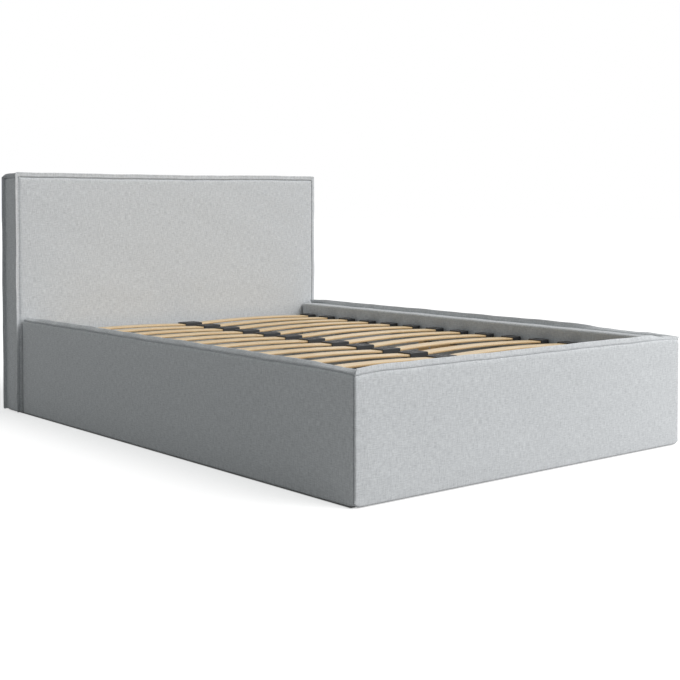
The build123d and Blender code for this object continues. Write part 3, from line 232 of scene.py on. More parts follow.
def eased(values, low, high):
    """0 below low, 1 above high, and a smooth rise between."""
    t = np.clip((np.asarray(values, float) - low) / (high - low), 0, 1)
    return t * t * (3 - 2 * t)


def woven_cloth(name, pale, dark, fleck):
    """A plain weave of mixed grey yarns, with threads 0.8 mm apart that are drawn at 1.8 mm to show."""
    material, tree, shader = finish_of(name,
        {"Roughness": 0.92, "Sheen Weight": 0.12, "Sheen Roughness": 0.5, "Specular IOR Level": 0.25})
    cloth = add(tree, "ShaderNodeUVMap", uv_map="cloth")
    split = add(tree, "ShaderNodeSeparateXYZ", [cloth])
    waves = []
    for axis in (0, 1):
        turns = add(tree, "ShaderNodeMath", [split.outputs[axis], math.pi / (1.8 * MM)], operation="MULTIPLY")
        waves.append(add(tree, "ShaderNodeMath", [turns], operation="SINE"))
    weave = add(tree, "ShaderNodeMath", waves, operation="MULTIPLY")
    yarns = []
    for scale in ((1 / (3.4 * MM), 1 / (26 * MM), 1), (1 / (20 * MM), 1 / (3.2 * MM), 1)):
        stretched = add(tree, "ShaderNodeMapping", {0: cloth, "Scale": scale})
        mottle = add(tree, "ShaderNodeTexNoise",
            {0: stretched, "Scale": 1.0, "Detail": 2.5, "Roughness": 0.6})
        yarns.append(add(tree, "ShaderNodeMapRange", [mottle, 0.3, 0.7]))
    over = add(tree, "ShaderNodeMapRange", [weave, -0.3, 0.3])
    yarn = add(tree, "ShaderNodeMix", {0: over, 2: yarns[0], 3: yarns[1]}, data_type="FLOAT")
    spots = add(tree, "ShaderNodeTexNoise", {0: cloth, "Scale": 1 / (3.4 * MM), "Detail": 1.0})
    crossing = add(tree, "ShaderNodeMath", [weave], operation="ABSOLUTE")
    height = add(tree, "ShaderNodeMath", [yarn, 0.5, crossing], operation="MULTIPLY_ADD")
    dressed(tree, shader, height, 0.22, dark, [(yarn, pale), (spots, fleck, 0.66, 0.78, 0.0, 0.5)])
    return material


cover_cloth = woven_cloth("polyester_plain_weave_heather", "#DDE0E2", "#B0B3B6", "#9DA1A4")

HEAD_HALF, HEAD_SEAM, HEAD_LOW, HEAD_FRONT, HEAD_DEPTH = 774.0, 989.0, 6.0, 1011.0, 138.0
CORNER_REACH = 12.0
# How far a flange stands out from its seam, and the middle of its thickness behind the face.
FIN, FIN_MIDDLE = 20.0, 4.6

# The cloth's line over a seam, each point as its distance past the seam and its depth behind the face:
# up the face to the flange's tip, then down the flange's other side to the band.
FACE = [(-60, 0), (-46, 0), (-34, 0), (-24, 0), (-17, 0.05), (-12, 0.3), (-8.5, 0.8), (-6, 1.6), (-4.2, 2.9),
    (-3.0, 4.6), (-2.2, 6.8), (-1.4, 9.0), (-0.4, 9.6), (0.4, 8.6), (1.0, 6.2), (1.8, 4.0), (3.2, 2.9),
    (6, 2.8), (9.5, 3.3), (13.5, 3.3), (16.5, 2.9), (18.6, 2.9), (19.5, 3.5), (FIN, FIN_MIDDLE)]
BACK_OF_FIN = [(19.5, 5.8), (18.6, 6.8), (16.5, 7.6), (13.5, 8.2), (9.5, 8.7), (6, 9.0), (3.2, 9.6),
    (1.0, 10.6), (-1.8, 11.6), (-3.2, 12.8), (-3.4, 14.4), (-2.6, 16.2), (-1.0, 18.6), (0.4, 22), (1.2, 28),
    (1.9, 38), (2.2, 50), (2.4, 69)]
# The flange at the back is thinner.
THIN_FIN = [(past, FIN_MIDDLE + (t - FIN_MIDDLE) * (0.3 + 0.7 * min(max((t - 16) / 34, 0), 1)))
    for past, t in BACK_OF_FIN[:-1]]
BAND = BACK_OF_FIN + [(past, HEAD_DEPTH - t) for past, t in reversed(THIN_FIN)]


def lines_between(low, high, step):
    """Evenly spaced places between two limits, without the limits."""
    count = max(2, round((high - low) / step))
    return list(np.linspace(low, high, count + 1)[1:-1])


offsets = [past for past, depth in FACE]
columns = np.array([-HEAD_HALF - past for past in reversed(offsets)]
    + lines_between(-HEAD_HALF + 60, HEAD_HALF - 60, 13) + [HEAD_HALF + past for past in offsets])
rows = np.array([HEAD_LOW, 7.2, 9.5, 13.5, 20]
    + lines_between(20, HEAD_SEAM - 60, 13) + [HEAD_SEAM + past for past in offsets])


def rounded_corners(x, z, power):
    """Draws the square outlines round the top corners in to a rounded shape, rounder for a lower power."""
    a = np.abs(x) - (HEAD_HALF - CORNER_REACH)
    b = z - (HEAD_SEAM - CORNER_REACH)
    inside = (a > 0) & (b > 0)
    a0, b0 = np.where(inside, a, 1.0), np.where(inside, b, 1.0)
    scale = np.where(inside, np.maximum(a0, b0) / (a0 ** power + b0 ** power) ** (1 / power), 1.0)
    new_x = np.sign(x) * (HEAD_HALF - CORNER_REACH + a * scale)
    return np.where(inside, new_x, x), np.where(inside, HEAD_SEAM - CORNER_REACH + b * scale, z)


def headboard_points(x, z, t):
    """Puts points given across, up and behind the face in the bed's space, with the cloth's unevenness."""
    x, z, t = (values.astype(float) for values in np.broadcast_arrays(x, z, t))
    past_side, past_top = np.abs(x) - HEAD_HALF, z - HEAD_SEAM
    beyond, crossing = np.maximum(past_side, past_top), past_side - past_top
    front = t < HEAD_DEPTH / 2
    side = np.where(front, 1.0, -1.0)
    # The flanges wave along their lines, and the upright ones lean.
    upright = eased(crossing, -14, 14)
    line = np.where(crossing > 0, z + 3000 + 500 * np.sign(x), x)
    lean = np.where(front, 1.8, -0.8) * sway(line + 700 * side, (410, 173, 97), (0.4, 2.2, 4.0))
    lean = lean + upright * np.where(front, np.where(x < 0, -7.0, 6.0), np.where(x < 0, -3.0, -4.0))
    # The groove at the foot of the left front flange is shallow.
    groove = front & (t > 2.9) & (beyond > -5) & (beyond < 1.8) & (beyond + t < 10.2)
    shallow = np.where(groove, 1 - 0.55 * (upright * (x < 0)), 1.0)
    t = np.where(shallow < 1, 2.9 + (t - 2.9) * shallow, t)
    # The foam fills the faces out between the seams, above the box in front.
    soft = -1.6 * eased(np.clip(-beyond, 0, 400), 4, 90) * np.where(front, eased(z, 420, 520), 1.0)
    uneven = 1 + 0.5 * sway(x + 2 * z, (620, 411), (1.0, 3.3)) + 0.35 * sway(z - x, (377, 233), (0.2, 1.7))
    flat = np.abs(t - HEAD_DEPTH / 2) > HEAD_DEPTH / 2 - 8.5
    t = t + side * np.where(flat & (beyond < 0), soft * uneven, 0) + lean * np.clip(beyond / FIN, 0, 1) ** 1.4
    # The top edge is uneven and rises to the right. The sides draw in and out a little.
    rise = 1.3 * sway(x, (830, 351, 187), (0.9, 4.4, 2.6)) + 6.0 * eased(x, 120, 460)
    rise = rise * eased(z, HEAD_SEAM - 150, HEAD_SEAM)
    inwards = 0.9 * sway(z, (540, 260), (2.0, 0.3)) * eased(np.abs(x), HEAD_HALF - 120, HEAD_HALF)
    inwards = inwards * eased(z, 30, 120)
    # The lower edge is rounded.
    low = 1 - eased(z, HEAD_LOW, 15)
    tuck = 2.5 * (1 - np.sqrt(np.clip(1 - low ** 2, 0, 1)))
    # The top corners are rounder at the back, and the band is pinched in along them.
    new_x, new_z = rounded_corners(x, z, 6 - 2.6 * eased(t, HEAD_DEPTH - 40, HEAD_DEPTH - 8))
    within = eased(t, 8, 13) * (1 - eased(t, HEAD_DEPTH - 13, HEAD_DEPTH - 8))
    pinch = 7.0 * np.exp(-((crossing - 3.0) / 4.0) ** 2) * (beyond > -6) * within
    new_x, new_z = new_x - np.sign(x) * pinch, new_z - 0.4 * pinch
    # The back's flange lies down towards the corners.
    down = (t > HEAD_DEPTH - 20) * eased(np.abs(x), HEAD_HALF - 110, HEAD_HALF - 20)
    new_z = new_z - 0.85 * np.maximum(new_z - HEAD_SEAM, 0) * down
    # The left edge stands out 4 mm and the right part 3 mm.
    wider = 4.0 * eased(-x, HEAD_HALF - 90, HEAD_HALF - 4) * (1 - eased(-x, HEAD_HALF + 4, HEAD_HALF + FIN))
    new_x = new_x - wider + 3.0 * eased(x, HEAD_HALF - 300, HEAD_HALF)
    new_x = new_x + np.sign(x) * (inwards - np.where(past_side > -5, tuck, 0))
    t = t + side * tuck * (flat | (beyond > 0))
    return np.stack([new_x, HEAD_FRONT + t, new_z + rise], -1)


def depth_of(x, z):
    """The depth behind the face at a place on the front."""
    beyond = np.maximum(np.abs(x) - HEAD_HALF, z - HEAD_SEAM)
    return np.interp(beyond, offsets, [depth for past, depth in FACE])


def add_corner_flange(parts, sign):
    """The short flange where the side band and the top band meet, standing up along the corner."""
    stations = np.linspace(4, HEAD_DEPTH - 6, 26)
    edge = [(-3, 0.8), (-0.5, 0.9), (1.5, 2.2), (4, 2.8), (9, 2.9), (15, 2.6), (18.4, 1.4)]
    outline = [(out, -wide) for out, wide in edge] + [(19.4, 0)] + edge[::-1]
    shift_x, shift_z = (3, 6) if sign > 0 else (0, 0)
    foot = 1.5
    rings = []
    for t in stations:
        tall = 1.03 + 0.04 * math.sin(t / 11)
        falling = 20 * eased(t, 0, 110) + 52 * eased(t, 106, HEAD_DEPTH - 2)
        angle = math.radians(87 - falling + 4 * math.sin(t / 19 + sign))
        ring = []
        for out, wide in outline:
            away = out * (tall if out > 0 else 1)
            curl = angle - math.radians(0.5 * max(0.0, away))
            x = HEAD_HALF - foot + away * math.cos(curl) - wide * math.sin(curl)
            z = HEAD_SEAM - foot + away * math.sin(curl) + wide * math.cos(curl)
            ring.append((sign * x + shift_x, HEAD_FRONT + t, z + shift_z))
        rings.append(ring)
    numbers = add_points(parts, np.array(rings))
    girth = np.cumsum([0] + [4] * len(outline))
    cloth = np.stack(np.meshgrid(stations + 12000, girth, indexing="ij"), -1)
    add_patch(parts, closed(numbers), cloth, flip=sign > 0)
    add_lid(parts, numbers[0], cloth[0, :-1], flip=sign < 0)
    add_lid(parts, numbers[-1], cloth[-1, :-1], flip=sign > 0)


def headboard_upholstery():
    """The front, the band with the flanges' inner sides, the back and the underside, in one closed mesh."""
    parts = new_parts()
    gx, gz = np.meshgrid(columns, rows)
    depth = depth_of(gx, gz)
    front = add_points(parts, headboard_points(gx, gz, depth))
    back = add_points(parts, headboard_points(gx, gz, HEAD_DEPTH - depth))
    cloth = np.stack([gx, gz], -1)
    add_patch(parts, front, cloth)
    add_patch(parts, back, cloth + 4000, flip=True)
    border = [(r, 0) for r in range(len(rows))] + [(len(rows) - 1, c) for c in range(1, len(columns))]
    border += [(r, len(columns) - 1) for r in range(len(rows) - 2, -1, -1)]
    bx = np.array([gx[i] for i in border])
    bz = np.array([gz[i] for i in border])
    rings = [np.array([front[i] for i in border])]
    girth = [0.0]
    last = (FIN, 2.6)
    for past, t in BAND:
        share = (CORNER_REACH + past) / (CORNER_REACH + FIN)
        a = np.abs(bx) - (HEAD_HALF - CORNER_REACH)
        b = bz - (HEAD_SEAM - CORNER_REACH)
        x = np.sign(bx) * (HEAD_HALF - CORNER_REACH + np.where(a > 0, a * share, a))
        z = HEAD_SEAM - CORNER_REACH + np.where(b > 0, b * share, b)
        rings.append(add_points(parts, headboard_points(x, z, np.full(len(x), t))))
        girth.append(girth[-1] + math.hypot(past - last[0], t - last[1]))
        last = (past, t)
    rings.append(np.array([back[i] for i in border]))
    girth.append(girth[-1] + 1.4)
    steps = np.concatenate([[0], np.cumsum(np.hypot(np.diff(bx), np.diff(bz)))])
    band = np.stack(np.meshgrid(np.array(girth), steps, indexing="ij"), -1) + 9000
    add_patch(parts, np.array(rings), band, flip=True)
    for sign in (-1, 1):
        add_corner_flange(parts, sign)
    under = list(front[0]) + [ring[-1] for ring in rings[1:-1]]
    under += list(back[0][::-1]) + [ring[0] for ring in rings[-2:0:-1]]
    points = np.concatenate(parts["points"])
    add_lid(parts, under, points[under][:, :2], flip=True)
    return made_mesh("headboard_upholstery", parts, cover_cloth)


headboard = headboard_upholstery()
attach(headboard, "bed_base")
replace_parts(headboard, "headboard_cover", "headboard_foam")


# Rail and footboard boards: raw chipboard, 30 mm thick, cut to mitres where the footboard meets the rails.
# The cloth is pulled over them, so they show only inside the joints.

coat_nodes(chipboard, "left_rail_board", "right_rail_board", "footboard_board")


# Rail and footboard upholstery: the same cloth over foam, wrapped round each board.
# One seam runs along the top outer edge and is left standing as a flange. The mitred ends are rounded off.

# The rails' outer faces are this far from the middle, and the footboard's outer face is here.
BED_HALF, FOOT_FACE = 770.0, -1149.0
PANEL_DEPTH, PANEL_LOW, PANEL_SEAM = 60.0, 6.0, 390.0
RAIL_LENGTH = 2151
END_ROUND, LAP = 2.4, 6.0
# How many points of the section lie on each side of the flange's tip.
FIN_SIDE = 9


def arc(cx, cz, radius, first, last, count):
    """Points of a part circle, by angles in degrees."""
    turns = np.radians(np.linspace(first, last, count))
    return [(cx + radius * math.cos(a), cz + radius * math.sin(a)) for a in turns]


def panel_section(groove):
    """The closed section of a panel, starting under the board, and the number of the flange's tip.
    Each point is a depth behind the outer face and a height. The groove is the depth of the flange's foot."""
    points = [(30, PANEL_LOW), (20, PANEL_LOW)]
    points += arc(8, PANEL_LOW + 8, 8, 270, 180, 7)
    points += [(0, z) for z in lines_between(PANEL_LOW + 8, PANEL_SEAM - 24, 14)]
    seam = [(0, -24), (0, -17), (0.2, -12), (0.6, -8.5), (1.2, -6), (2.2, -4.2), (3.6 * groove, -3.2),
        (5.2 * groove, -2.4), (6.6 * groove, -1.4), (6.8 * groove, -0.2), (5.0 * groove, 0.5),
        (3.0 * groove, 1.3), (1.8, 2.6), (1.3, 6), (1.5, 10), (1.9, 14.5), (2.2, 17.8), (2.9, 19.4),
        (4.1, FIN)]
    tip = len(points) + len(seam) - 1
    seam += [(5.3, 19.4), (6.1, 17.8), (6.6, 14.5), (6.9, 10), (7.1, 6), (7.3, 3.2), (7.5, 1.6), (7.7, 0.2),
        (8.0, -1.2), (8.6, -1.6), (10.4, -0.8), (13, 0.3), (17, 1.0), (23, 1.5), (30, 1.7), (38, 1.5),
        (45, 1.0)]
    points += [(depth, PANEL_SEAM + rise) for depth, rise in seam]
    points += arc(PANEL_DEPTH - 9, PANEL_SEAM - 9, 9, 84, 0, 8)
    points += [(PANEL_DEPTH, z) for z in reversed(lines_between(PANEL_LOW + 8, PANEL_SEAM - 9, 16))]
    points += arc(PANEL_DEPTH - 8, PANEL_LOW + 8, 8, 0, -90, 7)
    points += [(40, PANEL_LOW)]
    return np.array(points), tip


def on_flange(section, tip):
    """Which points of the section lie on the flange."""
    return np.abs(np.arange(len(section)) - tip) <= FIN_SIDE


def end_moves(section, tip, share, joint, slant):
    """How far each point of the section lies from the panel's end, and its depth and height, at a share of
    the end's round. The slant is how much farther back the flange's tip ends than its foot."""
    d, z = section[:, 0], section[:, 1]
    top = eased(z, PANEL_SEAM - 12, PANEL_SEAM - 2) * eased(d, 6.5, 22)
    low = 0.7 * (1 - eased(z, PANEL_LOW, PANEL_LOW + 10))
    inner = eased(d, PANEL_DEPTH - 12, PANEL_DEPTH - 2) * (1 - top)
    outer = np.clip(1 - top - inner, 0, 1) * (1 - low)
    inner = inner * (1 - low)
    quarter = math.radians(90 * share)
    down = END_ROUND * (1 - math.cos(quarter))
    far_top = END_ROUND * (1 - math.sin(quarter))
    if joint == "wrapped":
        in_outer = LAP * (1 - math.cos(quarter))
        far_outer = LAP * (1 - math.sin(quarter)) - in_outer + LAP
    elif joint == "mitred":
        turn = math.radians(135 * share)
        in_outer = END_ROUND * (1 - math.cos(turn))
        far_outer = END_ROUND * (2.414 - math.sin(turn)) - in_outer
    else:
        far_outer, in_outer = far_top, down
    if joint == "square":
        far_inner, in_inner, line = far_top, down, 0.0
    else:
        turn = math.radians(45 * share)
        in_inner = END_ROUND * (1 - math.cos(turn))
        far_inner = END_ROUND * (0.414 - math.sin(turn)) + in_inner
        far_top = far_top * 1.414
        line = -LAP if joint == "wrapped" else LAP
    new_d = d + outer * in_outer - inner * in_inner
    far = 0.3 + outer * far_outer + inner * far_inner + (top + low) * far_top
    if joint != "square":
        far = far + new_d + line
    new_z = z + down * (low - top)
    above = np.clip((z - PANEL_SEAM) / FIN, 0, 1)
    flange = on_flange(section, tip)
    first = {"wrapped": 0.6, "mitred": LAP + 1.0, "square": 1.2}[joint]
    far = np.where(flange, first + slant * above + 1.5 * (1 - math.sin(quarter)), far)
    new_d = np.where(flange, d + (FIN_MIDDLE - d) * 0.45 * (1 - math.cos(quarter)), new_d)
    return far, new_d, np.where(flange, z, new_z)


seam_paths = []


def panel_upholstery(name, length, place, mirrored, phase, ends, groove, lean, folds, corner):
    """One panel's closed cover, lofted along the panel through its rounded ends.
    Each end has a joint and its flange's slant. The lean tips the flange inwards, in degrees, and each fold
    adds to it round a place: its angle, its half length and its fade. The corner is how far the lower edge
    rises at a mitred end, and over what length."""
    section, tip = panel_section(groove)
    d, z = section[:, 0], section[:, 1]
    joints = [joint for joint, slant in ends]
    meets = [joint != "square" for joint in joints]
    # Rings of the section: close together round both ends, and 7 mm apart between them.
    first, last = [[end_moves(section, tip, share, *end) for share in np.linspace(1, 0, 9)] for end in ends]
    last = [(length - far, dd, zz) for far, dd, zz in reversed(last)]
    count = round((length - 40) / 7)
    middle = [(first[-1][0] + (last[0][0] - first[-1][0]) * k / count, d, z) for k in range(1, count)]
    u, dd, zz = (np.array([ring[axis] for ring in first + middle + last]) for axis in range(3))
    line = u + phase
    # The flange turns about its foot, with a wave and the folds.
    folded = sum(angle * np.exp(-(np.maximum(np.abs(u - spot) - half, 0) / fade) ** 2)
        for spot, angle, half, fade in folds)
    tipped = np.radians(lean + 6 * sway(line, (390, 166, 91), (1.9, 0.2, 3.1)) + folded)
    high, off = np.maximum(zz - PANEL_SEAM, 0), dd - FIN_MIDDLE
    share = eased(zz, PANEL_SEAM - 0.5, PANEL_SEAM + 5) * on_flange(section, tip)
    turned = tipped * share
    dd = np.where(share > 0, FIN_MIDDLE + off * np.cos(turned) + high * np.sin(turned), dd)
    zz = np.where(share > 0, np.minimum(zz, PANEL_SEAM) + high * np.cos(turned) - off * np.sin(turned), zz)
    # The top edge is uneven and dips at the corners. The lower edge hangs a little and rises at the corners.
    rise = eased(zz, PANEL_SEAM - 110, PANEL_SEAM) * (1 - 0.6 * eased(dd, 12, PANEL_DEPTH))
    dip = 4.5 * np.exp(-(u / 60) ** 2) * meets[0] + 4.5 * np.exp(-((length - u) / 60) ** 2) * meets[1]
    zz = zz + rise * (1.2 * sway(line, (710, 331, 177), (0.3, 2.9, 1.1)) - dip)
    for far, met in zip((u, length - u), meets):
        lift = corner[0] * np.clip(1 - far / corner[1], 0, 1) ** 2 * met
        zz = zz + lift * (1 - eased(zz, PANEL_LOW, PANEL_LOW + 50))
    zz = zz - 3.2 * (1 - eased(z, PANEL_LOW, PANEL_LOW + 40)) * (1 - eased(d, 14, 34))
    # The foam fills the outer face out, unevenly.
    face = eased(z, PANEL_LOW + 6, PANEL_LOW + 60) * (1 - eased(z, PANEL_SEAM - 70, PANEL_SEAM - 6))
    face = face * (1 - eased(d, 0.5, 4))
    away = eased(u, 2, 60) * eased(length - u, 2, 60)
    pad = 1.8 + 0.9 * sway(line + 0.7 * zz, (640, 420, 260), (0.5, 1.5, 3.5))
    pad = pad + 0.5 * sway(line - 1.3 * zz, (300, 211), (0.0, 2.0))
    dd = dd - pad * face[None, :] * away
    parts = new_parts()
    spots = place(u, dd, zz)
    numbers = add_points(parts, spots)
    for j in (tip - 6, tip + 5):
        seam_paths.append(0.5 * (spots[10:-10, j] + spots[10:-10, j + 1]))
    girth = np.concatenate([[0], np.cumsum(np.hypot(*np.diff(section, axis=0).T))])
    girth = np.append(girth, girth[-1] + math.hypot(*(section[0] - section[-1])))
    wrapped = closed(numbers)
    cloth = np.stack([closed(u) + phase, np.broadcast_to(girth, wrapped.shape)], -1)
    add_patch(parts, wrapped, cloth, flip=mirrored)
    # The ends: one face for the body, and a ladder of small ones up the flange.
    ring = [j for j in range(len(d)) if abs(j - tip) >= FIN_SIDE]
    for k, flip in ((0, mirrored), (len(u) - 1, not mirrored)):
        places = np.stack([dd[k], zz[k]], -1)
        add_lid(parts, [numbers[k, j] for j in ring], places[ring], flip=flip)
        for s in range(FIN_SIDE, 0, -1):
            pair = [tip - s, tip - s + 1, tip + s - 1, tip + s]
            if s == 1:
                pair = [tip - 1, tip, tip + 1]
            add_lid(parts, [numbers[k, j] for j in pair], places[pair], flip=flip)
    return made_mesh(name, parts, cover_cloth)


def left_place(u, d, z):
    """Along, behind and up, for the left rail."""
    return np.stack([d - BED_HALF, FOOT_FACE + u, z], -1)


def right_place(u, d, z):
    """Along, behind and up, for the right rail."""
    return np.stack([BED_HALF - d, FOOT_FACE + u, z], -1)


def foot_place(u, d, z):
    """Along, behind and up, for the footboard."""
    return np.stack([u - BED_HALF, FOOT_FACE + d, z], -1)


left_rail = panel_upholstery("left_rail_upholstery", RAIL_LENGTH, left_place, True, 0,
    [("mitred", 13), ("square", 2)], 1.0, 34, [(110, 24, 0, 100), (RAIL_LENGTH, 24, 60, 60)], (9.0, 42))
right_rail = panel_upholstery("right_rail_upholstery", RAIL_LENGTH, right_place, False, 5200,
    [("mitred", 4), ("square", 2)], 1.0, -14, [(0, -56, 300, 130), (RAIL_LENGTH, 44, 60, 60)], (9.0, 42))
footboard = panel_upholstery("footboard_upholstery", 2 * BED_HALF, foot_place, False, 9100,
    [("wrapped", 9), ("wrapped", 4)], 0.72, 9, [(2 * BED_HALF, 58, 80, 60)], (10.0, 20))
for panel, stem in ((left_rail, "left_rail"), (right_rail, "right_rail"), (footboard, "footboard")):
    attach(panel, "bed_base")
    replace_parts(panel, stem + "_cover", stem + "_foam")


# Seam stitches: thick polyester thread, a shade darker than the cloth, sewn through each flange at its foot.
# Staples of thin zinc plated wire hold the cloth under each board. They look bright and slightly dull.

def grow_tree(name, inputs):
    """A Geometry Nodes tree with named inputs: the tree, and its inputs' sockets by name."""
    tree = bpy.data.node_groups.new(name, "GeometryNodeTree")
    tree.interface.new_socket("Path", in_out="INPUT", socket_type="NodeSocketGeometry")
    for label, value in inputs.items():
        tree.interface.new_socket(label, in_out="INPUT", socket_type="NodeSocketFloat").default_value = value
    tree.interface.new_socket("Pieces", in_out="OUTPUT", socket_type="NodeSocketGeometry")
    return tree, tree.nodes.new("NodeGroupInput").outputs


def finish_tree(tree, geometry, material, smooth=False):
    """Ends a tree with real meshes in one material."""
    if smooth:
        geometry = add(tree, "GeometryNodeSetShadeSmooth", [geometry])
    real = add(tree, "GeometryNodeRealizeInstances", [geometry])
    pieces = add(tree, "GeometryNodeSetMaterial", {"Geometry": real, "Material": material})
    add(tree, "NodeGroupOutput", [pieces])


def grown(name, tree, lines, body):
    """Grows a tree's pieces on lines or loose points in millimetres, as one plain mesh riding on a body."""
    mesh = bpy.data.meshes.new(name)
    starts = np.cumsum([0] + [len(line) for line in lines])
    edges = [(int(s) + k, int(s) + k + 1) for s, line in zip(starts, lines) for k in range(len(line) - 1)]
    mesh.from_pydata((np.concatenate(lines) * MM).tolist(), edges, [])
    piece = bpy.data.objects.new(name, mesh)
    bpy.context.scene.collection.objects.link(piece)
    modifier = piece.modifiers.new("grow", "NODES")
    modifier.node_group = tree
    for item in tree.interface.items_tree:
        if item.socket_type == "NodeSocketFloat":
            modifier[item.identifier] = item.default_value
    result = bpy.data.meshes.new_from_object(piece.evaluated_get(bpy.context.evaluated_depsgraph_get()))
    piece.modifiers.remove(modifier)
    piece.data = result
    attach(piece, body)
    return piece


def set_along(tree, sockets, item, scale):
    """Copies of an item along the path at an even pitch, each turned to follow it."""
    curve = add(tree, "GeometryNodeMeshToCurve", {"Mesh": sockets["Path"]})
    even = add(tree, "GeometryNodeResampleCurve", {"Curve": curve, "Length": sockets["Pitch"]}, mode="LENGTH")
    tangent = add(tree, "GeometryNodeInputTangent")
    turned = add(tree, "FunctionNodeAlignRotationToVector", {"Vector": tangent}, axis="X")
    return add(tree, "GeometryNodeInstanceOnPoints",
        {"Points": even, "Instance": item, "Rotation": turned, "Scale": scale})


thread, tree, shader = finish_of("polyester_thread_grey", {"Base Color": linear("#A4A8AB"), "Roughness": 0.6})
twist = add(tree, "ShaderNodeTexWave", {0: along(tree, 1.2), "Scale": 1.0})
dressed(tree, shader, twist.outputs[1], 0.1)

stitch_tree, sockets = grow_tree("stitches", {"Pitch": 0.0065, "Stitch": 0.0052, "Thread": 0.0009})
stitch = add(stitch_tree, "GeometryNodeMeshUVSphere", {"Segments": 6, "Rings": 4, "Radius": 0.5})
size = add(stitch_tree, "ShaderNodeCombineXYZ", [sockets["Stitch"], sockets["Thread"], sockets["Thread"]])
finish_tree(stitch_tree, set_along(stitch_tree, sockets, stitch, size), thread, smooth=True)

# The headboard's stitches run round it this far outside the seam, on both sides of both flanges.
STITCH_LINE, STITCH_STEP = 4.0, 9.0
up = np.arange(14, HEAD_SEAM + STITCH_LINE, STITCH_STEP)
over = np.arange(-HEAD_HALF - STITCH_LINE + STITCH_STEP, HEAD_HALF + STITCH_LINE, STITCH_STEP)
left, right = (np.full(len(up), sign * (HEAD_HALF + STITCH_LINE)) for sign in (-1, 1))
edge_x = np.concatenate([left, over, right])
edge_z = np.concatenate([up, np.full(len(over), HEAD_SEAM + STITCH_LINE), up[::-1]])
seam_paths += [headboard_points(edge_x, edge_z, t) for t in (2.8, 9.6, HEAD_DEPTH - 9.6, HEAD_DEPTH - 2.8)]
grown("seam_stitches", stitch_tree, seam_paths, "bed_base")

staple_wire, tree, shader = finish_of("steel_wire_zinc_plated",
    {"Metallic": 1.0, "Base Color": linear("#B9BDC0"), "Roughness": 0.4})
clouds = add(tree, "ShaderNodeTexNoise", {0: along(tree, 2), "Scale": 1.0})
dressed(tree, shader, clouds, 0.05)

staple_tree, sockets = grow_tree("staples", {"Pitch": 0.045, "Crown": 0.0125, "Wire": 0.0011})
size = add(staple_tree, "ShaderNodeCombineXYZ", [sockets["Crown"], sockets["Wire"], sockets["Wire"]])
crown = add(staple_tree, "GeometryNodeMeshCube", [size])
finish_tree(staple_tree, set_along(staple_tree, sockets, crown, (1, 1, 1)), staple_wire)

STAPLE_LEVEL = PANEL_LOW - 0.1
staple_lines = []
for depth in (19, 45):
    for side in (-1, 1):
        x = side * (BED_HALF - depth)
        staple_lines.append(np.array([(x, y, STAPLE_LEVEL) for y in np.linspace(-1080, 990, 30)]))
    for y, reach in ((FOOT_FACE + depth, 700), (HEAD_FRONT + 20 + depth, 740)):
        staple_lines.append(np.array([(x, y, STAPLE_LEVEL) for x in np.linspace(-reach, reach, 20)]))
grown("cover_staples", staple_tree, staple_lines, "bed_base")


# Corner brackets and their bolts: folded steel plate, zinc plated.
# Bright but not mirror-like grey, with cloudy crystals and a faint blue cast.

def grained(name, values, gloss, below, above, grain_mm, detail, depth_mm):
    """One colour with a fine grain, which changes the shine between gloss - below and gloss + above."""
    material, tree, shader = finish_of(name, values)
    grain = add(tree, "ShaderNodeTexNoise", {0: along(tree, grain_mm), "Scale": 1.0, "Detail": detail})
    shine = add(tree, "ShaderNodeMapRange", [grain, 0.3, 0.7, gloss - below, gloss + above])
    tree.links.new(shine.outputs[0], shader.inputs["Roughness"])
    dressed(tree, shader, grain, depth_mm)
    return material


def plated_steel(name, colour, gloss, cloud_mm):
    """Plated metal: cloudy patches that change the shine a little."""
    values = {"Metallic": 1.0, "Base Color": linear(colour)}
    return grained(name, values, gloss, 0.1, 0.12, cloud_mm, 4.0, 0.05)


zinc = plated_steel("steel_zinc_plated", "#C3C7CB", 0.36, 4)
coat_nodes(zinc, "corner_brackets", "corner_bolts")


# Glides: moulded black plastic discs nailed under the panels.
# Matt, with a fine moulded grain.

def moulded_plastic(name, colour, gloss, grain_mm):
    """Moulded plastic or lacquer with a fine grain."""
    return grained(name, {"Base Color": linear(colour)}, gloss, 0.06, 0.08, grain_mm, 2.0, 0.08)


black_plastic = moulded_plastic("polypropylene_black_moulded", "#1E1F21", 0.48, 0.8)
coat_nodes(black_plastic, "glides")


# Storage floor: thin fibreboard sheets with a white lacquered face, on pine battens screwed to the rails.
# The face has a low even shine. The feet under the middle batten are black plastic.

pine = planed_pine("pine_sapwood_planed", 1)
white_face = moulded_plastic("fibreboard_white_lacquer", "#ECEAE4", 0.5, 2.0)
coat_nodes(pine, "floor_ledges", "floor_centre_batten")
coat_nodes(black_plastic, "centre_feet")
coat_nodes(white_face, "floor_panels")


# Platform supports: pine ledges screwed to the rails and the footboard, with rubber buffers on top.
# The rubber is nearly black and takes hardly any shine.

rubber = moulded_plastic("rubber_black", "#191919", 0.7, 0.6)
coat_nodes(pine, "side_ledges")
coat_nodes(planed_pine("pine_sapwood_planed_across", 0), "foot_ledge")
coat_nodes(zinc, "ledge_screws")
coat_nodes(rubber, "rubber_buffers")


# Lift plates and levers: pressed steel on zinc plated pins and studs, the plates screwed to the rails.
# Dark grey powder coat: an even colour whose soft shine breaks up in a fine orange peel.

def powder_coat(name, colour, gloss, peel_mm):
    """Powder coat or paint: an even colour with the slight orange peel of a melted or sprayed coat."""
    return grained(name, {"Base Color": linear(colour)}, gloss, 0.05, 0.05, peel_mm, 2.0, 0.06)


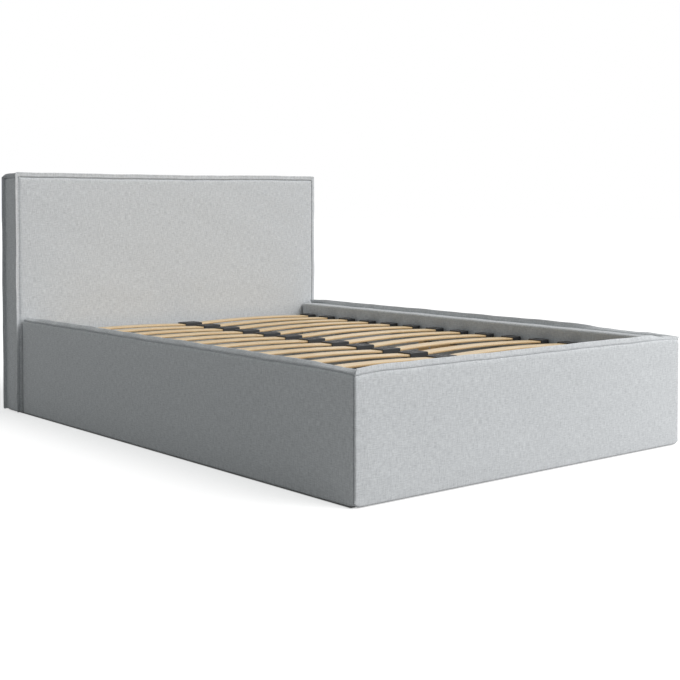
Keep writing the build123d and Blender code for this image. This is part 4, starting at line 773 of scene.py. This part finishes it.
lift_coat = powder_coat("steel_powder_coat_grey", "#55585B", 0.42, 1.6)
for side in ("left", "right"):
    coat_nodes(lift_coat, side + "_base_plate", side + "_rear_lever", side + "_front_lever")
    coat_nodes(zinc, side + "_strut_stud", side + "_front_lever_pin")
coat_nodes(zinc, "plate_screws", "ground_pins", "strut_foot_studs")


# Gas struts: steel tubes painted glossy black, with rods of hard chrome that slide in them.
# The rods are the only pieces that shine almost like a mirror.

strut_paint = powder_coat("steel_gloss_paint_black", "#141516", 0.3, 3)
chrome = plated_steel("steel_hard_chrome", "#DADCDD", 0.16, 6)
coat_nodes(strut_paint, "left_strut_cylinder", "right_strut_cylinder")
coat_nodes(chrome, "left_strut_rod", "right_strut_rod")


# Platform frame: welded square steel tube with plastic end plugs, and the lift brackets bolted to it.
# Light grey powder coat. Small rippled weld beads show at each joint, under the same coat.

frame_coat = powder_coat("steel_powder_coat_light_grey", "#8E9294", 0.45, 1.6)
coat_nodes(frame_coat, "side_tubes", "head_tube", "foot_tube", "centre_tube", "cross_tubes",
    "left_lift_bracket", "right_lift_bracket", "mattress_retainer")
coat_nodes(black_plastic, "tube_plugs")
coat_nodes(zinc, "bracket_bolts", "bracket_pins")

bead_tree, sockets = grow_tree("weld_beads", {"Pitch": 0.0016, "Width": 0.0045})
bead = add(bead_tree, "GeometryNodeMeshUVSphere", {"Segments": 8, "Rings": 4, "Radius": 0.5})
length = add(bead_tree, "ShaderNodeMath", [sockets["Width"], 0.8], operation="MULTIPLY")
size = add(bead_tree, "ShaderNodeCombineXYZ", [length, sockets["Width"], sockets["Width"]])
finish_tree(bead_tree, set_along(bead_tree, sockets, bead, size), frame_coat, smooth=True)

# Where the side and centre tubes are welded to the cross tubes, and to the tubes at both ends.
tube_sides, cross_rows, end_rows = (-666, -15, 15, 666), (304.6, -341.8), (921, -1039)
weld_lines = []
for y in cross_rows:
    for x in tube_sides:
        for edge in (-15, 15):
            weld_lines.append(np.array([(x, y + edge, 286), (x, y + edge, 304)]))
        weld_lines.append(np.array([(x, y - 14, 285), (x, y + 14, 285)]))
weld_lines += [np.array([(x, y, 287), (x, y, 323)]) for y in end_rows for x in (-666, 666, -15, 15)]
grown("frame_weld_beads", bead_tree, weld_lines, "platform")


# Slats: seven layers of birch veneer, glued in a slight arch and lacquered, in black moulded holders.
# The faces are pale with fine grain along the slat. The edges show the layers as thin stripes.
# Three low ribs across the top of each holder catch the light.

SLAT_COUNT, SLAT_FIRST, SLAT_PITCH = 14, 916, 147.69
slat_rows = [SLAT_FIRST - SLAT_PITCH * k for k in range(SLAT_COUNT)]

birch, tree, shader = finish_of("birch_plywood_lacquered",
    {"Roughness": 0.42, "Coat Weight": 0.25, "Coat Roughness": 0.25})
grain = add(tree, "ShaderNodeTexNoise",
    {0: along(tree, 160, 4.5, 4.5), "Scale": 1.0, "Detail": 4.0, "Distortion": 0.4})
streaks = add(tree, "ShaderNodeTexNoise", {0: along(tree, 30, 0.9, 0.9), "Scale": 1.0, "Detail": 2.0})
boards = add(tree, "ShaderNodeTexNoise",
    {0: along(tree, 1000 / 0.6, 147.7, 10000), "Scale": 1.0, "Detail": 0.0})
section = add(tree, "ShaderNodeAttribute", attribute_name="section")
place = add(tree, "ShaderNodeSeparateXYZ", [section.outputs["Vector"]])
layer = add(tree, "ShaderNodeMapRange", [place.outputs[1], -0.0036, 0.0036, -3.15, 3.15])
turns = add(tree, "ShaderNodeMath", [layer, math.pi], operation="MULTIPLY")
wave = add(tree, "ShaderNodeMath", [turns], operation="COSINE")
glue = add(tree, "ShaderNodeMath", [wave], operation="ABSOLUTE")
dressed(tree, shader, streaks, 0.06, "#E8D2A9", [(grain, "#D3B27F", 0.35, 0.68),
    (streaks, "#BF9A66", 0.5, 0.75, 0.0, 0.45), (boards, "#DDBB86", 0.35, 0.65, 0.0, 0.4),
    (wave, "#A57F50", -0.15, 0.15, 0.0, 0.7), (glue, "#6E5030", 0.12, 0.3, 0.8, 0.0)])

slat_tree, sockets = grow_tree("slats",
    {"Length": 0.6894, "Width": 0.06, "Thickness": 0.008, "Rise": 0.01, "Edge": 0.0028})
half = add(slat_tree, "ShaderNodeMath", [sockets["Length"], 0.5], operation="MULTIPLY")
minus = add(slat_tree, "ShaderNodeMath", [half, -1.0], operation="MULTIPLY")
ends = [add(slat_tree, "ShaderNodeCombineXYZ", [reach, 0.0, 0.0]) for reach in (minus, half)]
line = add(slat_tree, "GeometryNodeCurvePrimitiveLine", {"Start": ends[0], "End": ends[1]})
line = add(slat_tree, "GeometryNodeResampleCurve", {"Curve": line, "Count": 25})
spot = add(slat_tree, "GeometryNodeInputPosition")
across = add(slat_tree, "ShaderNodeSeparateXYZ", [spot])
out = add(slat_tree, "ShaderNodeMath", [across, half], operation="DIVIDE")
squared = add(slat_tree, "ShaderNodeMath", [out, out], operation="MULTIPLY")
bow = add(slat_tree, "ShaderNodeMath", [1.0, squared], operation="SUBTRACT")
height = add(slat_tree, "ShaderNodeMath", [bow, sockets["Rise"]], operation="MULTIPLY")
lift = add(slat_tree, "ShaderNodeCombineXYZ", [0.0, 0.0, height])
arch = add(slat_tree, "GeometryNodeSetPosition", {"Geometry": line, "Offset": lift})
outline = add(slat_tree, "GeometryNodeCurvePrimitiveQuadrilateral",
    {"Width": sockets["Width"], "Height": sockets["Thickness"]})
outline = add(slat_tree, "GeometryNodeFilletCurve",
    {"Curve": outline, "Count": 4, "Radius": sockets["Edge"]}, mode="POLY")
outline = add(slat_tree, "GeometryNodeStoreNamedAttribute",
    {"Geometry": outline, "Name": "section", "Value": spot}, data_type="FLOAT_VECTOR", domain="POINT")
slat = add(slat_tree, "GeometryNodeCurveToMesh", {"Curve": arch, "Profile Curve": outline, "Fill Caps": True})
copies = {"Points": sockets["Path"], "Instance": slat}
finish_tree(slat_tree, add(slat_tree, "GeometryNodeInstanceOnPoints", copies), birch)

# How far a slat's middle is from the bed's, the level of a slat's ends, and the holders' top.
SLAT_MIDDLE, SLAT_LEVEL, HOLDER_TOP = 347.0, 332.8, 344.6
for side, centre in (("left", -SLAT_MIDDLE), ("right", SLAT_MIDDLE)):
    places = [np.array([(centre, y, SLAT_LEVEL)]) for y in slat_rows]
    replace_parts(grown(side + "_bent_slats", slat_tree, places, "platform"), side + "_slats")
coat_nodes(black_plastic, "left_slat_holders", "right_slat_holders", "centre_slat_holders")

rib_tree, sockets = grow_tree("holder_ribs", {"Length": 0.034, "Width": 0.003})
rib = add(rib_tree, "GeometryNodeMeshUVSphere", {"Segments": 10, "Rings": 6, "Radius": 0.5})
size = add(rib_tree, "ShaderNodeCombineXYZ", [sockets["Length"], sockets["Width"], sockets["Width"]])
ribs = {"Points": sockets["Path"], "Instance": rib, "Scale": size}
finish_tree(rib_tree, add(rib_tree, "GeometryNodeInstanceOnPoints", ribs), black_plastic, smooth=True)
rib_places = [np.array([(x, y + off, HOLDER_TOP)]) for y in slat_rows for off in (-18, 0, 18)
    for x in (-675, -21, 21, 675)]
grown("slat_holder_ribs", rib_tree, rib_places, "platform")


# Pull strap: 30 mm black nylon webbing in a loop, its ends riveted to the foot tube.
# The ribs of the weave run across it, with painted shade in the hollows between them,
# and its inner edge puckers where it is bent.

def webbing_of(name, colour):
    """Woven webbing: thick ribs across, 1.3 mm apart and drawn at 2 mm, in a faint herringbone.
    The rib tops are painted lighter and the hollows darker, as painted shade.
    """
    material, tree, shader = finish_of(name, {"Roughness": 0.62, "Sheen Weight": 0.2})
    cloth = add(tree, "ShaderNodeUVMap", uv_map="cloth")
    split = add(tree, "ShaderNodeSeparateXYZ", [cloth])
    zigzag = add(tree, "ShaderNodeMath", [split.outputs[1], 5 * MM], operation="PINGPONG")
    lean = add(tree, "ShaderNodeMath", [zigzag, 0.6, split], operation="MULTIPLY_ADD")
    turns = add(tree, "ShaderNodeMath", [lean, 2 * math.pi / (2 * MM)], operation="MULTIPLY")
    rib = add(tree, "ShaderNodeMath", [turns], operation="SINE")
    rib_height_and_painted_shade = add(tree, "ShaderNodeMapRange", [rib, -1.0, 1.0])
    # The rib height also sets the colour: painted shade in the hollows and a painted highlight on the rib
    # tops.
    dressed(tree, shader, rib_height_and_painted_shade, 0.35, "#151618", [(rib_height_and_painted_shade, colour)])
    return material


STRAP_HALF, STRAP_LOW, STRAP_BEND, STRAP_RISE = 65, 291, 322, 48
STRAP_RINGS, LEG_SHARE = 60, 0.16
# The left leg, the arch and the right leg: each ring's place across and up, and how far it has turned.
strap_runs = []
for k in range(STRAP_RINGS + 1):
    share = k / STRAP_RINGS
    leg = (STRAP_BEND - STRAP_LOW) / LEG_SHARE
    if share < LEG_SHARE:
        strap_runs.append((-STRAP_HALF, STRAP_LOW + leg * share, 0))
    elif share > 1 - LEG_SHARE:
        strap_runs.append((STRAP_HALF, STRAP_BEND - leg * (share - (1 - LEG_SHARE)), math.pi))
    else:
        turn = math.pi * (share - LEG_SHARE) / (1 - 2 * LEG_SHARE)
        strap_runs.append((-STRAP_HALF * math.cos(turn), STRAP_BEND + STRAP_RISE * math.sin(turn), turn))
edge = [(-15, 0.5), (-14.4, 1.1)] + [(wide, 1.2) for wide in (-11, -5, 0, 5, 11)] + [(14.4, 1.1), (15, 0.5)]
strap_section = edge + [(wide, -thick) for wide, thick in reversed(edge)]
strap_rings, strap_cloth = [], []
for k, (x, z, turn) in enumerate(strap_runs):
    free = math.sin(math.pi * min(max((k / STRAP_RINGS - 0.1) / 0.8, 0), 1))
    ring = []
    for wide, thick in strap_section:
        pucker = 0.55 * math.sin(k * 1.05) * (wide + 15) / 30 + 0.9 * math.sin(k / 9.0) * (1 - abs(wide) / 30)
        y = -1070.5 - free * 3.0 + thick + free * pucker
        ring.append((x + wide * math.cos(turn), y, z - wide * math.sin(turn)))
    strap_rings.append(ring)
    strap_cloth.append([(k * 4.1, wide) for wide, thick in strap_section + strap_section[:1]])
strap_cloth = np.array(strap_cloth)
strap_parts = new_parts()
numbers = add_points(strap_parts, np.array(strap_rings))
add_patch(strap_parts, closed(numbers), strap_cloth)
add_lid(strap_parts, numbers[0], strap_cloth[0, :-1], flip=True)
add_lid(strap_parts, numbers[-1], strap_cloth[-1, :-1])
strap = made_mesh("pull_strap_webbing", strap_parts, webbing_of("nylon_webbing_black", "#303236"))
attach(strap, "platform")
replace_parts(strap, "pull_strap")
coat_nodes(zinc, "strap_rivets")


# Floor and light: a white floor in a white surround, with broad soft light from the front, right and above.
# A nearer lamp adds a little on the right, and even light fills the rest.
# The floor shows white outside the shadow. Its glow is cut out under the bed's outline, which paints shade
# there over the real shadow, so the narrow gap under the rails shows dark.

floor_mesh = bpy.data.meshes.new("stage_floor")
floor_mesh.from_pydata([(-60, -60, 0), (60, -60, 0), (60, 60, 0), (-60, 60, 0)], [], [(0, 1, 2, 3)])
floor = bpy.data.objects.new("stage_floor", floor_mesh)
bpy.context.scene.collection.objects.link(floor)


def seen_directly(tree):
    """1 for rays from the camera, and for those seen in gloss and glass."""
    rays = add(tree, "ShaderNodeLightPath")
    seen = rays.outputs["Is Camera Ray"]
    for other in ("Is Glossy Ray", "Is Transmission Ray"):
        seen = add(tree, "ShaderNodeMath", [seen, rays.outputs[other]], operation="MAXIMUM")
    return seen


floor_paint, tree, shader = finish_of("floor_paint_white",
    {"Base Color": linear("#A0A0A0"), "Roughness": 0.9})
floor_mesh.materials.append(floor_paint)
# The glow stops at the bed's outline on the floor, given in metres, which paints shade under the bed.
across = add(tree, "ShaderNodeSeparateXYZ", [add(tree, "ShaderNodeTexCoord").outputs["Object"]])
sides = []
for axis, middle, reach in ((0, 0.0, 0.77), (1, 0.0105, 1.1385)):
    away = add(tree, "ShaderNodeMath", [across.outputs[axis], middle], operation="SUBTRACT")
    away = add(tree, "ShaderNodeMath", [away], operation="ABSOLUTE")
    sides.append(add(tree, "ShaderNodeMath", [away, reach], operation="SUBTRACT"))
outside = add(tree, "ShaderNodeMath", sides, operation="MAXIMUM")
# The glow is nil inside the bed's outline: painted shade under the bed.
glow_cut_for_painted_shade = add(tree, "ShaderNodeMapRange", [outside, -0.008, 0.0, 0.0, 0.62])
lit = add(tree, "ShaderNodeBsdfDiffuse", {"Color": linear("#D0D0D0")})
glow = add(tree, "ShaderNodeEmission", {"Color": (1, 1, 1, 1), "Strength": glow_cut_for_painted_shade})
shown = add(tree, "ShaderNodeAddShader", [lit, glow])
either = add(tree, "ShaderNodeMixShader", [seen_directly(tree), shader, shown])
tree.links.new(either.outputs[0], tree.nodes["Material Output"].inputs[0])

world = bpy.data.worlds.new("studio")
bpy.context.scene.world = world
world.use_nodes = True
sky = world.node_tree
for node in list(sky.nodes):
    sky.nodes.remove(node)
level = add(sky, "ShaderNodeMapRange", [seen_directly(sky), 0.0, 1.0, 0.36, 1.0])
tint = add(sky, "ShaderNodeMix", {0: level, 6: (0.955, 1.005, 1.0, 1), 7: (1, 1, 1, 1)}, data_type="RGBA")
backdrop = add(sky, "ShaderNodeBackground", {"Color": tint.outputs[2], "Strength": level})
add(sky, "ShaderNodeOutputWorld", [backdrop])


def aimed(name, kind, place, target, values):
    """A lamp of a kind, pointing from its place to a target."""
    data = bpy.data.lights.new(name, kind)
    for key, value in values.items():
        setattr(data, key, value)
    body = bpy.data.objects.new(name, data)
    body.location = place
    x, y, z = (t - p for t, p in zip(target, place))
    body.rotation_euler = (math.atan2(math.hypot(x, y), -z), 0, math.atan2(-x, y))
    bpy.context.scene.collection.objects.link(body)


aimed("broad_light", "SUN", (2.2, -4.0, 4.0), (0, 0, 0),
    {"energy": 2.15, "angle": math.radians(40), "color": (1.0, 0.985, 0.98)})
aimed("near_lamp", "AREA", (2.3, -3.1, 1.1), (0.7, -1.1, 0.25),
    {"shape": "SQUARE", "size": 1.2, "energy": 26})

bpy.context.scene.view_settings.view_transform = "Standard"
